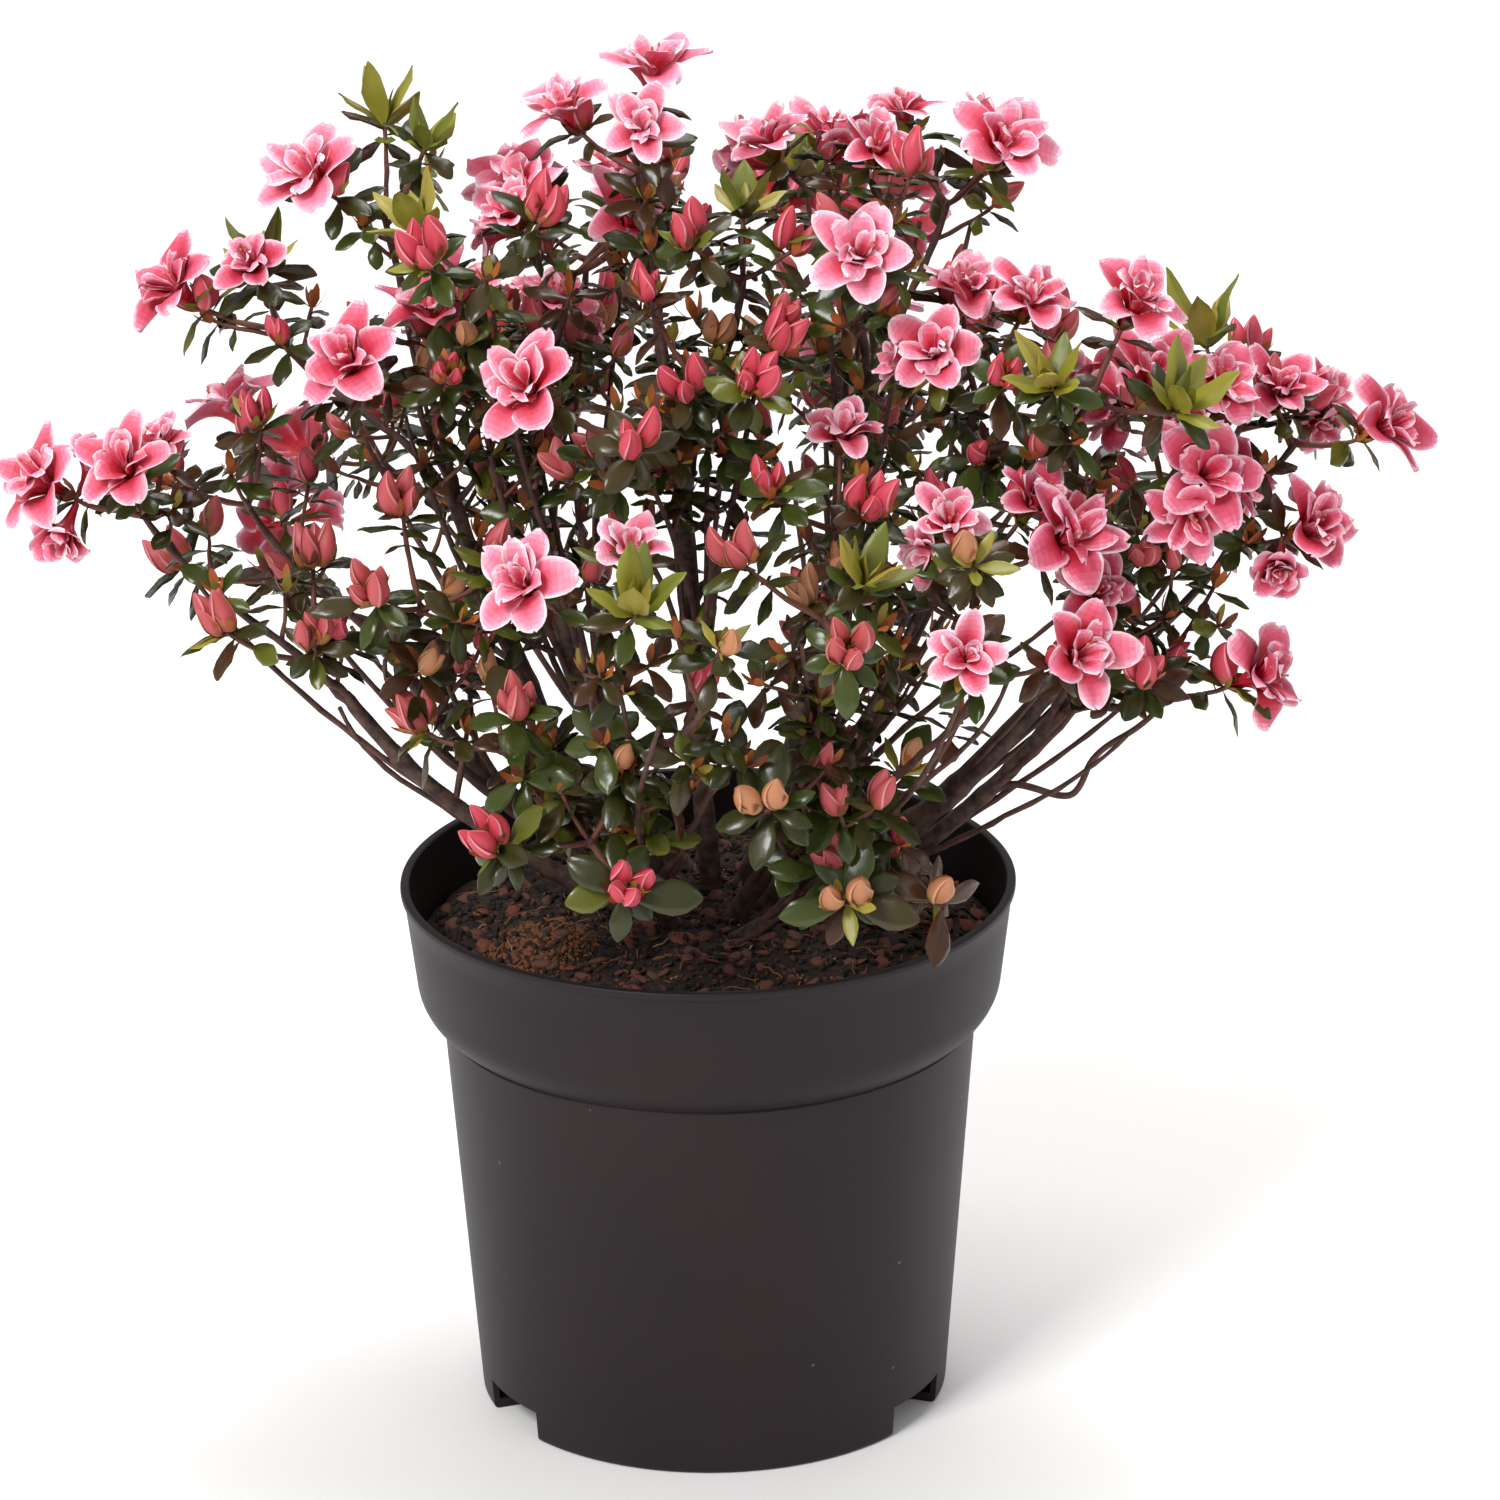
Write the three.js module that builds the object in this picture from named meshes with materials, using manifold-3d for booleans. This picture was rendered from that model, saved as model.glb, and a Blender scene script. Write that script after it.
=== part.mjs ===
// A potted azalea shrub: a round plastic nursery pot, the root ball that fills it, the boughs that fan
// out of the soil, and the sprays of twigs, leaves, buds and blossom that the boughs carry.
// Millimetres, +Z up. The origin is under the middle of the pot, and +Y is the back of the plant.
import * as THREE from "three";
import { mergeVertices } from "three/addons/utils/BufferGeometryUtils.js";
import Module from "manifold-3d";

const wasm = await Module();
wasm.setup();

// ---------------------------------------------------------------- driving dimensions
const CLEAR = 0.3; // the gap kept between pieces that meet
const FINEST = 0.2; // detail smaller than this is smoothed out of a spray
const UP = new THREE.Vector3(0, 0, 1);
const RIGHT = new THREE.Vector3(1, 0, 0);

const POT = {
  height: 169,
  rimRadius: 95,
  collarHeight: 44, // from the lip down to where the shoulder meets the body
  collarFootRadius: 90.5,
  shoulderHeight: 12,
  shoulderIn: 2, // the bend in the shoulder, in from the collar's foot
  shoulderBend: 0.4, // and up it, as a share of its height
  bodyTopRadius: 82.5,
  baseRadius: 73,
  wall: 1.8,
  floor: 3,
  lipHeight: 2.6,
  lipStandsOut: 1,
  baseRound: 2,
  sides: 40,
};
const NOTCH = { count: 3, widthDeg: 22, height: 10, depth: 11, firstDeg: -30, past: 5 };

const SOIL = {
  crest: 160,
  crestRadius: 40,
  edge: 149,
  sides: 40,
  slack: 0.6, // room for the flats of the wall's facets
  aboveShoulder: 3,
};

// Each bough leaves the soil at its foot and ends at the fork where its sprays begin.
const BOUGH = {
  sides: 6,
  steps: 5,
  elbowOut: 0.6, // shares of the way from foot to tip at which the bough bends
  elbowUp: 0.34,
  flare: 0.35,
  flareShare: 0.1,
  buried: 8, // how far the curve starts below the cut, so that the cut is whole
};
const BOUGHS = [
  { name: "left_low", foot: [-24, -3], tip: [-109, -15, 235], thick: 3.1, thin: 2.2 },
  { name: "left", foot: [-27, 11], tip: [-95, 10, 240], thick: 2.7, thin: 2.0 },
  { name: "upper_left", foot: [-17, 21], tip: [-77, 18, 290], thick: 3.1, thin: 2.2 },
  { name: "mid_left", foot: [-11, 5], tip: [-54, 12, 298], thick: 2.9, thin: 2.2 },
  { name: "top", foot: [1, 15], tip: [-6, 2, 298], thick: 3.3, thin: 2.6 },
  { name: "top_right", foot: [12, 20], tip: [52, 14, 325], thick: 3.2, thin: 2.2 },
  { name: "right_upper", foot: [17, -1], tip: [75, 2, 282], thick: 3.0, thin: 2.2 },
  { name: "right", foot: [34, 9], tip: [128, 4, 262], thick: 4.7, thin: 2.7 },
  { name: "right_low", foot: [29, -9], tip: [107, -27, 232], thick: 3.3, thin: 2.3 },
  { name: "centre", foot: [9, -9], tip: [42, -40, 258], thick: 3.0, thin: 2.2 },
  { name: "low_left", foot: [-12, -16], tip: [-25, -45, 215], thick: 3.1, thin: 2.3 },
  { name: "low_right", foot: [13, -25], tip: [44, -43, 203], thick: 2.5, thin: 2.0 },
  { name: "back_left", foot: [-9, 34], tip: [-48, 62, 250], thick: 3.2, thin: 2.3 },
  { name: "back_right", foot: [20, 35], tip: [48, 64, 255], thick: 3.2, thin: 2.3 },
];

// A spray's tips fan round its axis from turn, in degrees: 0 is to the right, 90 to the back.
// O is an open truss, B a truss of buds, L a shoot of young leaves, D a rosette of old leaves.
const SPRAYS = [
  { name: "far_left", bough: "left_low", centre: [-177, -5, 306], size: 34, tips: "OOO", turn: 180 },
  { name: "left_edge", bough: "left_low", centre: [-123, -25, 265], size: 34, tips: "BBB", turn: 190 },
  { name: "left", bough: "left", centre: [-148, 35, 298], size: 38, tips: "OBO", turn: 180 },
  { name: "left_buds", bough: "left", centre: [-83, -50, 287], size: 36, tips: "BBB", turn: 350 },
  { name: "left_low_back", bough: "left", centre: [-138, 80, 255], size: 36, tips: "BOB", turn: 170 },
  { name: "left_shoulder", bough: "upper_left", centre: [-137, 45, 349], size: 34, tips: "OOL", turn: 180 },
  { name: "left_inner", bough: "upper_left", centre: [-88, -5, 340], size: 32, tips: "OBO", turn: 200 },
  { name: "top_left", bough: "upper_left", centre: [-98, 35, 389], size: 34, tips: "OLL", turn: 200 },
  { name: "mid_left_buds", bough: "mid_left", centre: [-68, -20, 382], size: 33, tips: "BBL", turn: 240 },
  { name: "mid_left_open", bough: "mid_left", centre: [-36, 35, 371], size: 36, tips: "OOO", turn: 200 },
  { name: "mid_left_back", bough: "mid_left", centre: [-61, 60, 328], size: 36, tips: "OOO", turn: 0 },
  { name: "top", bough: "top", centre: [-18, 5, 413], size: 38, tips: "OOO", turn: 180 },
  { name: "top_buds", bough: "top", centre: [15, -25, 385], size: 34, tips: "BBL", turn: 220 },
  { name: "centre_buds", bough: "top", centre: [3, -45, 354], size: 36, tips: "BBBB", turn: 30 },
  { name: "front_high", bough: "top", centre: [-29, -65, 345], size: 34, tips: "OBO", turn: 170 },
  { name: "top_right", bough: "top_right", centre: [38, 25, 395], size: 36, tips: "OOO", turn: 180 },
  { name: "top_far_right", bough: "top_right", centre: [80, 50, 388], size: 38, tips: "OOO", turn: 60 },
  { name: "top_right_front", bough: "top_right", centre: [50, -36, 388], size: 32, tips: "OB", turn: 230 },
  { name: "right_inner", bough: "right_upper", centre: [83, -40, 352], size: 38, tips: "OBOO", turn: 215 },
  { name: "right_green", bough: "right_upper", centre: [120, -60, 355], size: 36, tips: "LLO", turn: 220 },
  { name: "right_low_back", bough: "right_upper", centre: [138, 72, 268], size: 38, tips: "OBB", turn: 10 },
  { name: "right_open", bough: "right", centre: [140, -37, 321], size: 38, tips: "OOO", turn: 20 },
  { name: "right_high", bough: "right", centre: [172, 34, 318], size: 34, tips: "BLO", turn: 100 },
  { name: "far_right", bough: "right", centre: [187, 4, 319], size: 30, tips: "OO", turn: 0 },
  { name: "right_mid", bough: "right_low", centre: [126, -41, 281], size: 32, tips: "OD", turn: 260 },
  { name: "right_edge_low", bough: "right_low", centre: [145, -50, 254], size: 34, tips: "BO", turn: 190 },
  { name: "right_outer", bough: "right_low", centre: [166, -20, 296], size: 32, tips: "OO", turn: 290 },
  { name: "centre_high", bough: "centre", centre: [39, -65, 319], size: 34, tips: "BBO", turn: 180 },
  { name: "centre_right", bough: "centre", centre: [87, -79, 307], size: 38, tips: "OBOO", turn: 180 },
  { name: "centre_mid", bough: "centre", centre: [34, -105, 301], size: 36, tips: "BBL", turn: 170 },
  { name: "front_mid", bough: "low_left", centre: [-32, -108, 303], size: 34, tips: "OLO", turn: 180 },
  { name: "low_left", bough: "low_left", centre: [-70, -55, 243], size: 30, tips: "BB", turn: 150 },
  { name: "low_front_left", bough: "low_left", centre: [-40, -82, 216], size: 34, tips: "BBD", turn: 190 },
  { name: "front_centre", bough: "low_left", centre: [2, -118, 278], size: 29, tips: "B", turn: 0 },
  { name: "low_front_right", bough: "low_right", centre: [56, -66, 204], size: 34, tips: "BBB", turn: 200 },
  { name: "low_centre", bough: "low_right", centre: [24, -85, 238], size: 30, tips: "BD", turn: 250 },
  { name: "low_right", bough: "low_right", centre: [86, -103, 284], size: 33, tips: "OO", turn: 200 },
  { name: "back_left", bough: "back_left", centre: [-112, 112, 285], size: 40, tips: "OBO", turn: 150 },
  { name: "back_mid_left", bough: "back_left", centre: [-52, 150, 292], size: 40, tips: "OOB", turn: 100 },
  { name: "back_high_left", bough: "back_left", centre: [-34, 98, 358], size: 40, tips: "BOO", turn: 40 },
  { name: "back_mid_right", bough: "back_right", centre: [42, 152, 288], size: 40, tips: "OBO", turn: 80 },
  { name: "back_right", bough: "back_right", centre: [108, 118, 296], size: 40, tips: "OOB", turn: 40 },
  { name: "back_high_right", bough: "back_right", centre: [38, 106, 356], size: 40, tips: "OLO", turn: 135 },
];
const SPACE = 1.3; // how far a spray may reach from its centre, in its own sizes
const STEM = {
  radius: 1.4,
  forkRadius: 1.1,
  sides: 3,
  steps: 4,
  upShare: 0.35, // how far its growth turns upwards
  forkBelow: 0.45, // from the spray's centre down to the fork, in the spray's sizes
  bend: 0.35, // how far it keeps its first direction, as a share of its length
};
const TWIG = {
  radius: 1.0,
  tipRadius: 0.7,
  sides: 3,
  steps: 2,
  spreadDeg: 52,
  turnDeg: 20, // how far one may stray from its place in the fan
  elbowLean: 1.35, // it leaves the fork more aslant than it ends
  sunk: 1.5,
};
const REACH = { O: 0.55, B: 0.72, L: 0.72, D: 0.9 }; // from the fork to a tip, in the spray's sizes
const LEAF = { length: 25, width: 10.5, thick: 0.9, widestAt: 0.58, fold: 1.4 };
const LEAVES = { O: 2, B: 4, L: 2, D: 5 }; // how many old leaves are under a tip
const YOUNG = { length: 27, width: 9, count: 3, leanDeg: 30, sunk: 2 };
const BLOSSOM = {
  radius: 19.5,
  depth: 15,
  petals: 5,
  throat: 0.55, // how deep its mouth is sunk, as a share of its depth
  shoulder: 0.92,
  cleft: 0.44,
  droop: 0.12,
  sunk: 3,
};
const HEART = 200; // the height that the crown's blossom looks away from
const FACING = { twig: 1.1, outward: 0.6, light: 0.8, lightRise: 0.35, backFrom: 70 };
const UPRIGHT = 0.9; // how far buds and young leaves turn upwards from their twig
const BUD = { length: 19, width: 11.5, count: 2, sides: 5, leanDeg: 17, sunk: 2.5 };
const BELLY = { up: 0.27, radius: 0.95 }; // a bud's fullest ring and its upper one
const NECK = { up: 0.66, radius: 0.78 };
const TRIES = [1.25, 1, 0.8, 0.6].flatMap((drawnIn) =>
  [1, 0.85, 0.72].flatMap((smaller) => [0, 25, -25].map((aside) => ({ drawnIn, smaller, aside }))),
);
const ROSETTE = { leanDeg: 70, leanByDeg: 20, below: 3, stepDown: 2.2, goldenDeg: 137.5, firstDeg: 60 };

// ---------------------------------------------------------------- tools
const vec = (x, y, z) => new THREE.Vector3(x, y, z);
const rad = THREE.MathUtils.degToRad;

// Repeatable numbers from 0 to 1.
function seeded(seed) {
  let state = seed >>> 0;
  return () => {
    state = (state + 0x6d2b79f5) >>> 0;
    let t = Math.imul(state ^ (state >>> 15), state | 1);
    t = (t + Math.imul(t ^ (t >>> 7), t | 61)) ^ t;
    return ((t ^ (t >>> 14)) >>> 0) / 4294967296;
  };
}

function solidOf(geometry) {
  const bare = geometry.clone();
  bare.deleteAttribute("normal");
  bare.deleteAttribute("uv");
  const merged = mergeVertices(bare, 1e-4);
  const made = new wasm.Manifold(
    new wasm.Mesh({
      numProp: 3,
      vertProperties: merged.attributes.position.array,
      triVerts: new Uint32Array(merged.index.array),
    }),
  );
  return made;
}

function meshOf(name, solid, material) {
  const { numProp, numVert, vertProperties, triVerts } = solid.getMesh();
  const position = new Float32Array(numVert * 3);
  for (let i = 0; i < numVert; i++) {
    position.set(vertProperties.subarray(i * numProp, i * numProp + 3), i * 3);
  }
  const geometry = new THREE.BufferGeometry();
  geometry.setAttribute("position", new THREE.BufferAttribute(position, 3));
  geometry.setIndex(new THREE.BufferAttribute(new Uint32Array(triVerts), 1));
  geometry.computeVertexNormals();
  const mesh = new THREE.Mesh(geometry, material);
  mesh.name = name;
  return mesh;
}

// Moves each vertex of a geometry to where place(x, y, z) says.
function reshape(geometry, place) {
  const at = geometry.attributes.position;
  for (let i = 0; i < at.count; i++) {
    const p = place(at.getX(i), at.getY(i), at.getZ(i));
    at.setXYZ(i, p.x, p.y, p.z);
  }
  return geometry;
}

// Two directions square to axis: the first as near to the right as it can be, the second to the back.
function squareTo(axis) {
  const across = RIGHT.clone().addScaledVector(axis, -RIGHT.dot(axis)).normalize();
  return [across, vec().crossVectors(axis, across)];
}

// The direction that leans from axis by lean, towards turn round it. Angles in degrees.
function leaning(axis, leanDeg, turnDeg) {
  const [across, away] = squareTo(axis);
  return axis
    .clone()
    .multiplyScalar(Math.cos(rad(leanDeg)))
    .addScaledVector(across, Math.sin(rad(leanDeg)) * Math.cos(rad(turnDeg)))
    .addScaledVector(away, Math.sin(rad(leanDeg)) * Math.sin(rad(turnDeg)));
}

// A closed limb along a curve, whose radius at a share of its length is radiusAt(share).
function limb(curve, radiusAt, sides, steps) {
  const frames = curve.computeFrenetFrames(steps, false);
  const unit = new THREE.CylinderGeometry(1, 1, 1, sides, steps);
  return solidOf(
    reshape(unit, (x, y, z) => {
      const step = Math.round((y + 0.5) * steps);
      const share = step / steps;
      return curve
        .getPointAt(share)
        .addScaledVector(frames.normals[step], x * radiusAt(share))
        .addScaledVector(frames.binormals[step], -z * radiusAt(share));
    }),
  );
}

const tapered = (from, to) => (share) => from + (to - from) * share;

// True if piece keeps the gap to every one of the others.
function clearOf(piece, others) {
  const own = piece.boundingBox();
  return others.every((other) => {
    const box = other.boundingBox();
    const apart = [0, 1, 2].some(
      (k) => own.min[k] > box.max[k] + CLEAR || box.min[k] > own.max[k] + CLEAR,
    );
    return apart || piece.minGap(other, 2 * CLEAR) >= CLEAR;
  });
}

// ---------------------------------------------------------------- pot
const shoulderTop = POT.height - POT.collarHeight + POT.shoulderHeight;
const bodyTop = POT.height - POT.collarHeight;

// Half the pot's section, from the middle of its underside, up the outside and down the inside.
function potProfile() {
  const { rimRadius, lipStandsOut, lipHeight, height, wall } = POT;
  const outer = [
    [0, 0],
    [POT.baseRadius - POT.baseRound, 0],
    [POT.baseRadius, POT.baseRound],
    [POT.bodyTopRadius, bodyTop],
    [POT.collarFootRadius - POT.shoulderIn, bodyTop + POT.shoulderHeight * POT.shoulderBend],
    [POT.collarFootRadius, shoulderTop],
    [rimRadius - lipStandsOut, height - lipHeight],
    [rimRadius, height - lipHeight + lipStandsOut],
    [rimRadius, height],
  ];
  const inner = [
    [rimRadius - lipStandsOut - wall, height],
    [POT.collarFootRadius - wall, shoulderTop + wall],
    [POT.bodyTopRadius - wall, bodyTop + wall / 2],
    [POT.baseRadius - wall, POT.floor],
    [0, POT.floor],
  ];
  return [...outer, ...inner].map(([r, z]) => new THREE.Vector2(r, z));
}

// One drainage notch: a wedge that cuts the foot of the wall and the edge of the floor, and runs
// past them.
function notchSolid(middleDeg) {
  const half = rad(NOTCH.widthDeg / 2);
  const reach = POT.baseRadius + NOTCH.past;
  const inner = POT.baseRadius - NOTCH.depth;
  const outline = new THREE.Shape([
    new THREE.Vector2(inner * Math.cos(half), -inner * Math.sin(half)),
    new THREE.Vector2(reach * Math.cos(half), -reach * Math.sin(half)),
    new THREE.Vector2(reach * Math.cos(half), reach * Math.sin(half)),
    new THREE.Vector2(inner * Math.cos(half), inner * Math.sin(half)),
  ]);
  const wedge = new THREE.ExtrudeGeometry(outline, {
    depth: NOTCH.height + NOTCH.past,
    bevelEnabled: false,
  });
  wedge.translate(0, 0, -NOTCH.past).rotateZ(rad(middleDeg));
  return solidOf(wedge);
}

function turned(profile, sides) {
  const lathe = new THREE.LatheGeometry(profile, sides);
  return lathe.rotateX(Math.PI / 2); // three.js turns a profile round Y
}

function potSolid() {
  let pot = solidOf(turned(potProfile(), POT.sides));
  for (let i = 0; i < NOTCH.count; i++) {
    pot = pot.subtract(notchSolid(NOTCH.firstDeg + (360 / NOTCH.count) * i));
  }
  return pot;
}

// ---------------------------------------------------------------- root ball
// It fills the pot to a crest that is flat where the boughs rise and falls away to the wall.
function rootBallSolid() {
  const gap = POT.wall + CLEAR * 2 + SOIL.slack;
  const { mapLinear } = THREE.MathUtils;
  const rimInside = POT.rimRadius - POT.lipStandsOut;
  const overNotch = NOTCH.height + CLEAR * 2;
  const bodyAt = (z) => mapLinear(z, POT.floor, bodyTop, POT.baseRadius, POT.bodyTopRadius);
  const collarAt = (z) => mapLinear(z, shoulderTop, POT.height, POT.collarFootRadius, rimInside);
  const profile = [
    [0, POT.floor + CLEAR],
    [POT.baseRadius - NOTCH.depth - CLEAR * 2, POT.floor + CLEAR],
    [bodyAt(overNotch) - gap, overNotch],
    [POT.bodyTopRadius - gap, bodyTop],
    [POT.collarFootRadius - gap, shoulderTop + SOIL.aboveShoulder],
    [collarAt(SOIL.edge) - gap, SOIL.edge],
    [SOIL.crestRadius, SOIL.crest],
    [0, SOIL.crest],
  ];
  return solidOf(turned(profile.map(([r, z]) => new THREE.Vector2(r, z)), SOIL.sides));
}

// ---------------------------------------------------------------- boughs
// A bough leans out first and then turns upwards.
function boughCurve({ foot, tip }) {
  const end = vec(...tip);
  const start = vec(foot[0], foot[1], SOIL.crest);
  const elbow = vec(
    start.x + (end.x - start.x) * BOUGH.elbowOut,
    start.y + (end.y - start.y) * BOUGH.elbowOut,
    start.z + (end.z - start.z) * BOUGH.elbowUp,
  );
  const buried = start.clone().addScaledVector(elbow.clone().sub(start).normalize(), -BOUGH.buried);
  return new THREE.QuadraticBezierCurve3(buried, elbow, end);
}

// The bough is cut flat at the soil, where it flares.
function boughSolid(bough) {
  const taper = tapered(bough.thick, bough.thin);
  const radiusAt = (share) =>
    taper(share) * (1 + BOUGH.flare * Math.exp(-share / BOUGH.flareShare));
  const whole = limb(boughCurve(bough), radiusAt, BOUGH.sides, BOUGH.steps);
  return whole.trimByPlane([0, 0, 1], SOIL.crest + CLEAR);
}

// ---------------------------------------------------------------- sprays
// Where the stems of a bough's sprays start: in a ring on its tip, each on the side it goes to.
function stemStarts(bough, sprays) {
  const curve = boughCurve(bough);
  const along = curve.getTangent(1);
  const tip = curve.getPoint(1);
  const [across, away] = squareTo(along);
  const bearing = ({ centre }) => {
    const to = vec(...centre).sub(tip);
    return Math.atan2(to.dot(away), to.dot(across));
  };
  const ordered = [...sprays].sort((a, b) => bearing(a) - bearing(b));
  const pitch = (2 * Math.PI) / ordered.length;
  const lag = ordered.map((spray, i) => bearing(spray) - i * pitch);
  const first = Math.atan2(
    lag.reduce((sum, a) => sum + Math.sin(a), 0),
    lag.reduce((sum, a) => sum + Math.cos(a), 0),
  );
  const ring = (STEM.radius + CLEAR) / Math.sin(Math.PI / ordered.length);
  return new Map(
    ordered.map((spray, i) => {
      const angle = first + i * pitch;
      const at = tip
        .clone()
        .addScaledVector(across, ring * Math.cos(angle))
        .addScaledVector(away, ring * Math.sin(angle));
      return [spray.name, { at, along }];
    }),
  );
}

// The stem runs from the bough's tip to the fork where the spray's twigs begin.
function stemPlan(spray, { at, along }) {
  const centre = vec(...spray.centre);
  const growth = centre.clone().sub(at).normalize().lerp(UP, STEM.upShare).normalize();
  const fork = centre.clone().addScaledVector(growth, -STEM.forkBelow * spray.size);
  const set = fork.clone().sub(at).normalize();
  const leave = along.clone().add(set).normalize();
  const lean = Math.sqrt(Math.max(0, 1 - leave.dot(along) ** 2));
  const start = at.clone().addScaledVector(along, CLEAR * 1.2 + STEM.radius * lean);
  const pull = fork.distanceTo(start) * STEM.bend;
  const curve = new THREE.CubicBezierCurve3(
    start,
    start.clone().addScaledVector(leave, pull),
    fork.clone().addScaledVector(growth, -pull),
    fork,
  );
  return { curve, fork, growth };
}

// True if every point lies on this spray's side of the planes that part it from the others.
function inSpace(spray, points) {
  const centre = vec(...spray.centre);
  return points.every((p) => {
    const own = p.distanceToSquared(centre) - spray.size ** 2;
    if (p.distanceTo(centre) > SPACE * spray.size) return false;
    return SPRAYS.every((other) => {
      if (other === spray) return true;
      const middle = vec(...other.centre);
      const theirs = p.distanceToSquared(middle) - other.size ** 2;
      return (theirs - own) / (2 * centre.distanceTo(middle)) > 0.6 * CLEAR;
    });
  });
}

function cornersOf(solid) {
  const { numProp, numVert, vertProperties } = solid.getMesh();
  return Array.from({ length: numVert }, (_, i) =>
    vec(...vertProperties.subarray(i * numProp, i * numProp + 3)),
  );
}

// A leaf of eight faces, widest past its middle, with its edges folded up from the midrib.
function leafSolid(root, along, face, length, width) {
  const across = vec().crossVectors(face, along).normalize();
  const normal = vec().crossVectors(along, across).normalize();
  return solidOf(
    reshape(new THREE.OctahedronGeometry(1), (x, y, z) => {
      const share = x > 0.5 ? 1 : x < -0.5 ? 0 : LEAF.widestAt;
      return root
        .clone()
        .addScaledVector(along, share * length)
        .addScaledVector(across, (y * width) / 2)
        .addScaledVector(normal, (z * LEAF.thick) / 2 + Math.abs(y) * LEAF.fold);
    }),
  );
}

// An open blossom: a cone drawn out into five petals, with its mouth sunk into a throat.
function blossomSolid(root, facing, size) {
  const points = 4 * BLOSSOM.petals;
  const [across, away] = squareTo(facing);
  const reach = [1, BLOSSOM.shoulder, BLOSSOM.cleft, BLOSSOM.shoulder];
  const cone = new THREE.ConeGeometry(1, 1, points);
  return solidOf(
    reshape(cone, (x, y, z) => {
      const edge = Math.hypot(x, z) > 0.5;
      const point = Math.round((Math.atan2(z, x) / (2 * Math.PI)) * points + points) % points;
      const radius = edge ? BLOSSOM.radius * size * reach[point % 4] : 0;
      const middle = y > 0 ? 0 : 1 - BLOSSOM.throat;
      const depth = edge ? 1 - BLOSSOM.droop * (1 - reach[point % 4]) : middle;
      const angle = (2 * Math.PI * point) / points;
      return root
        .clone()
        .addScaledVector(facing, BLOSSOM.depth * size * depth)
        .addScaledVector(across, radius * Math.cos(angle))
        .addScaledVector(away, radius * Math.sin(angle));
    }),
  );
}

// A bud: a spindle, fullest below its middle.
function budSolid(root, facing, size) {
  const [across, away] = squareTo(facing);
  return solidOf(
    reshape(new THREE.SphereGeometry(1, BUD.sides, 3), (x, y, z) => {
      const out = Math.hypot(x, z);
      const ring = out > 0.1;
      const { up, radius } = y > 0 ? NECK : BELLY;
      const share = ring ? up : Math.max(0, Math.sign(y));
      const outward = ring ? (((BUD.width * size) / 2) * radius) / out : 0;
      return root
        .clone()
        .addScaledVector(facing, BUD.length * size * share)
        .addScaledVector(across, x * outward)
        .addScaledVector(away, -z * outward);
    }),
  );
}

// The twigs of a spray: one for each tip, fanned round the spray's growth from its fork. Each is
// tried at its full reach and turn first, then drawn in and turned aside.
function twigChoices(spray, { fork, growth }, i, random) {
  const count = spray.tips.length;
  const kind = spray.tips[i];
  const lean = count > 1 ? TWIG.spreadDeg * (0.85 + 0.3 * random()) : 0;
  const turn = spray.turn + (360 / count) * i + TWIG.turnDeg * (random() - 0.5);
  const reach = spray.size * REACH[kind] * (0.9 + 0.2 * random());
  const root = fork.clone().addScaledVector(growth, -TWIG.sunk);
  return TRIES.map(({ drawnIn, aside, smaller }) => {
    const tip = fork.clone().addScaledVector(leaning(growth, lean, turn + aside), reach * drawnIn);
    const elbow = fork
      .clone()
      .addScaledVector(leaning(growth, lean * TWIG.elbowLean, turn + aside), (reach * drawnIn) / 2);
    const curve = new THREE.QuadraticBezierCurve3(root, elbow, tip);
    return { kind, curve, tip, along: curve.getTangent(1), smaller };
  });
}

// Blossom looks along its twig, away from the middle of the plant and towards the light, which
// reaches the front sprays from the front and the back ones from behind.
function facingOf(tip, along) {
  const outward = tip.clone().sub(vec(0, 0, HEART)).normalize();
  const light = vec(0, tip.y < FACING.backFrom ? -1 : 1, FACING.lightRise).normalize();
  return along
    .clone()
    .multiplyScalar(FACING.twig)
    .addScaledVector(outward, FACING.outward)
    .addScaledVector(light, FACING.light)
    .normalize();
}

// What a twig ends in: an open blossom, a few buds or a shoot of upright young leaves.
function endingSolids({ kind, tip, along, smaller }, size, turn) {
  const rising = along.clone().addScaledVector(UP, UPRIGHT).normalize();
  if (kind === "O") {
    const facing = facingOf(tip, along);
    const root = tip.clone().addScaledVector(facing, -BLOSSOM.sunk);
    return [blossomSolid(root, facing, size * smaller)];
  }
  if (kind === "B") {
    const root = tip.clone().addScaledVector(along, -BUD.sunk);
    return Array.from({ length: BUD.count }, (_, i) => {
      const lean = leaning(rising, BUD.leanDeg, turn + (360 / BUD.count) * i);
      return budSolid(root, lean, size * smaller);
    });
  }
  const count = kind === "L" ? YOUNG.count : 1;
  const root = tip.clone().addScaledVector(along, -YOUNG.sunk);
  return Array.from({ length: count }, (_, i) => {
    const out = leaning(rising, YOUNG.leanDeg, turn + (360 / count) * i);
    return leafSolid(root, out, rising, YOUNG.length * smaller, YOUNG.width * smaller);
  });
}

// Old leaves in a whorl below a twig's tip, turned by the golden angle.
function rosetteSolids({ kind, curve, along, turn }, random) {
  const length = curve.getLength();
  return Array.from({ length: LEAVES[kind] }, (_, i) => {
    const lean = ROSETTE.leanDeg + ROSETTE.leanByDeg * (random() - 0.5);
    const size = 0.85 + 0.3 * random();
    const below = Math.min(ROSETTE.below + i * ROSETTE.stepDown, length - 1);
    const root = curve.getPointAt(1 - below / length);
    const out = leaning(along, lean, turn + ROSETTE.firstDeg + ROSETTE.goldenDeg * i);
    return leafSolid(root, out, along, LEAF.length * size, LEAF.width * size);
  });
}

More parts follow.
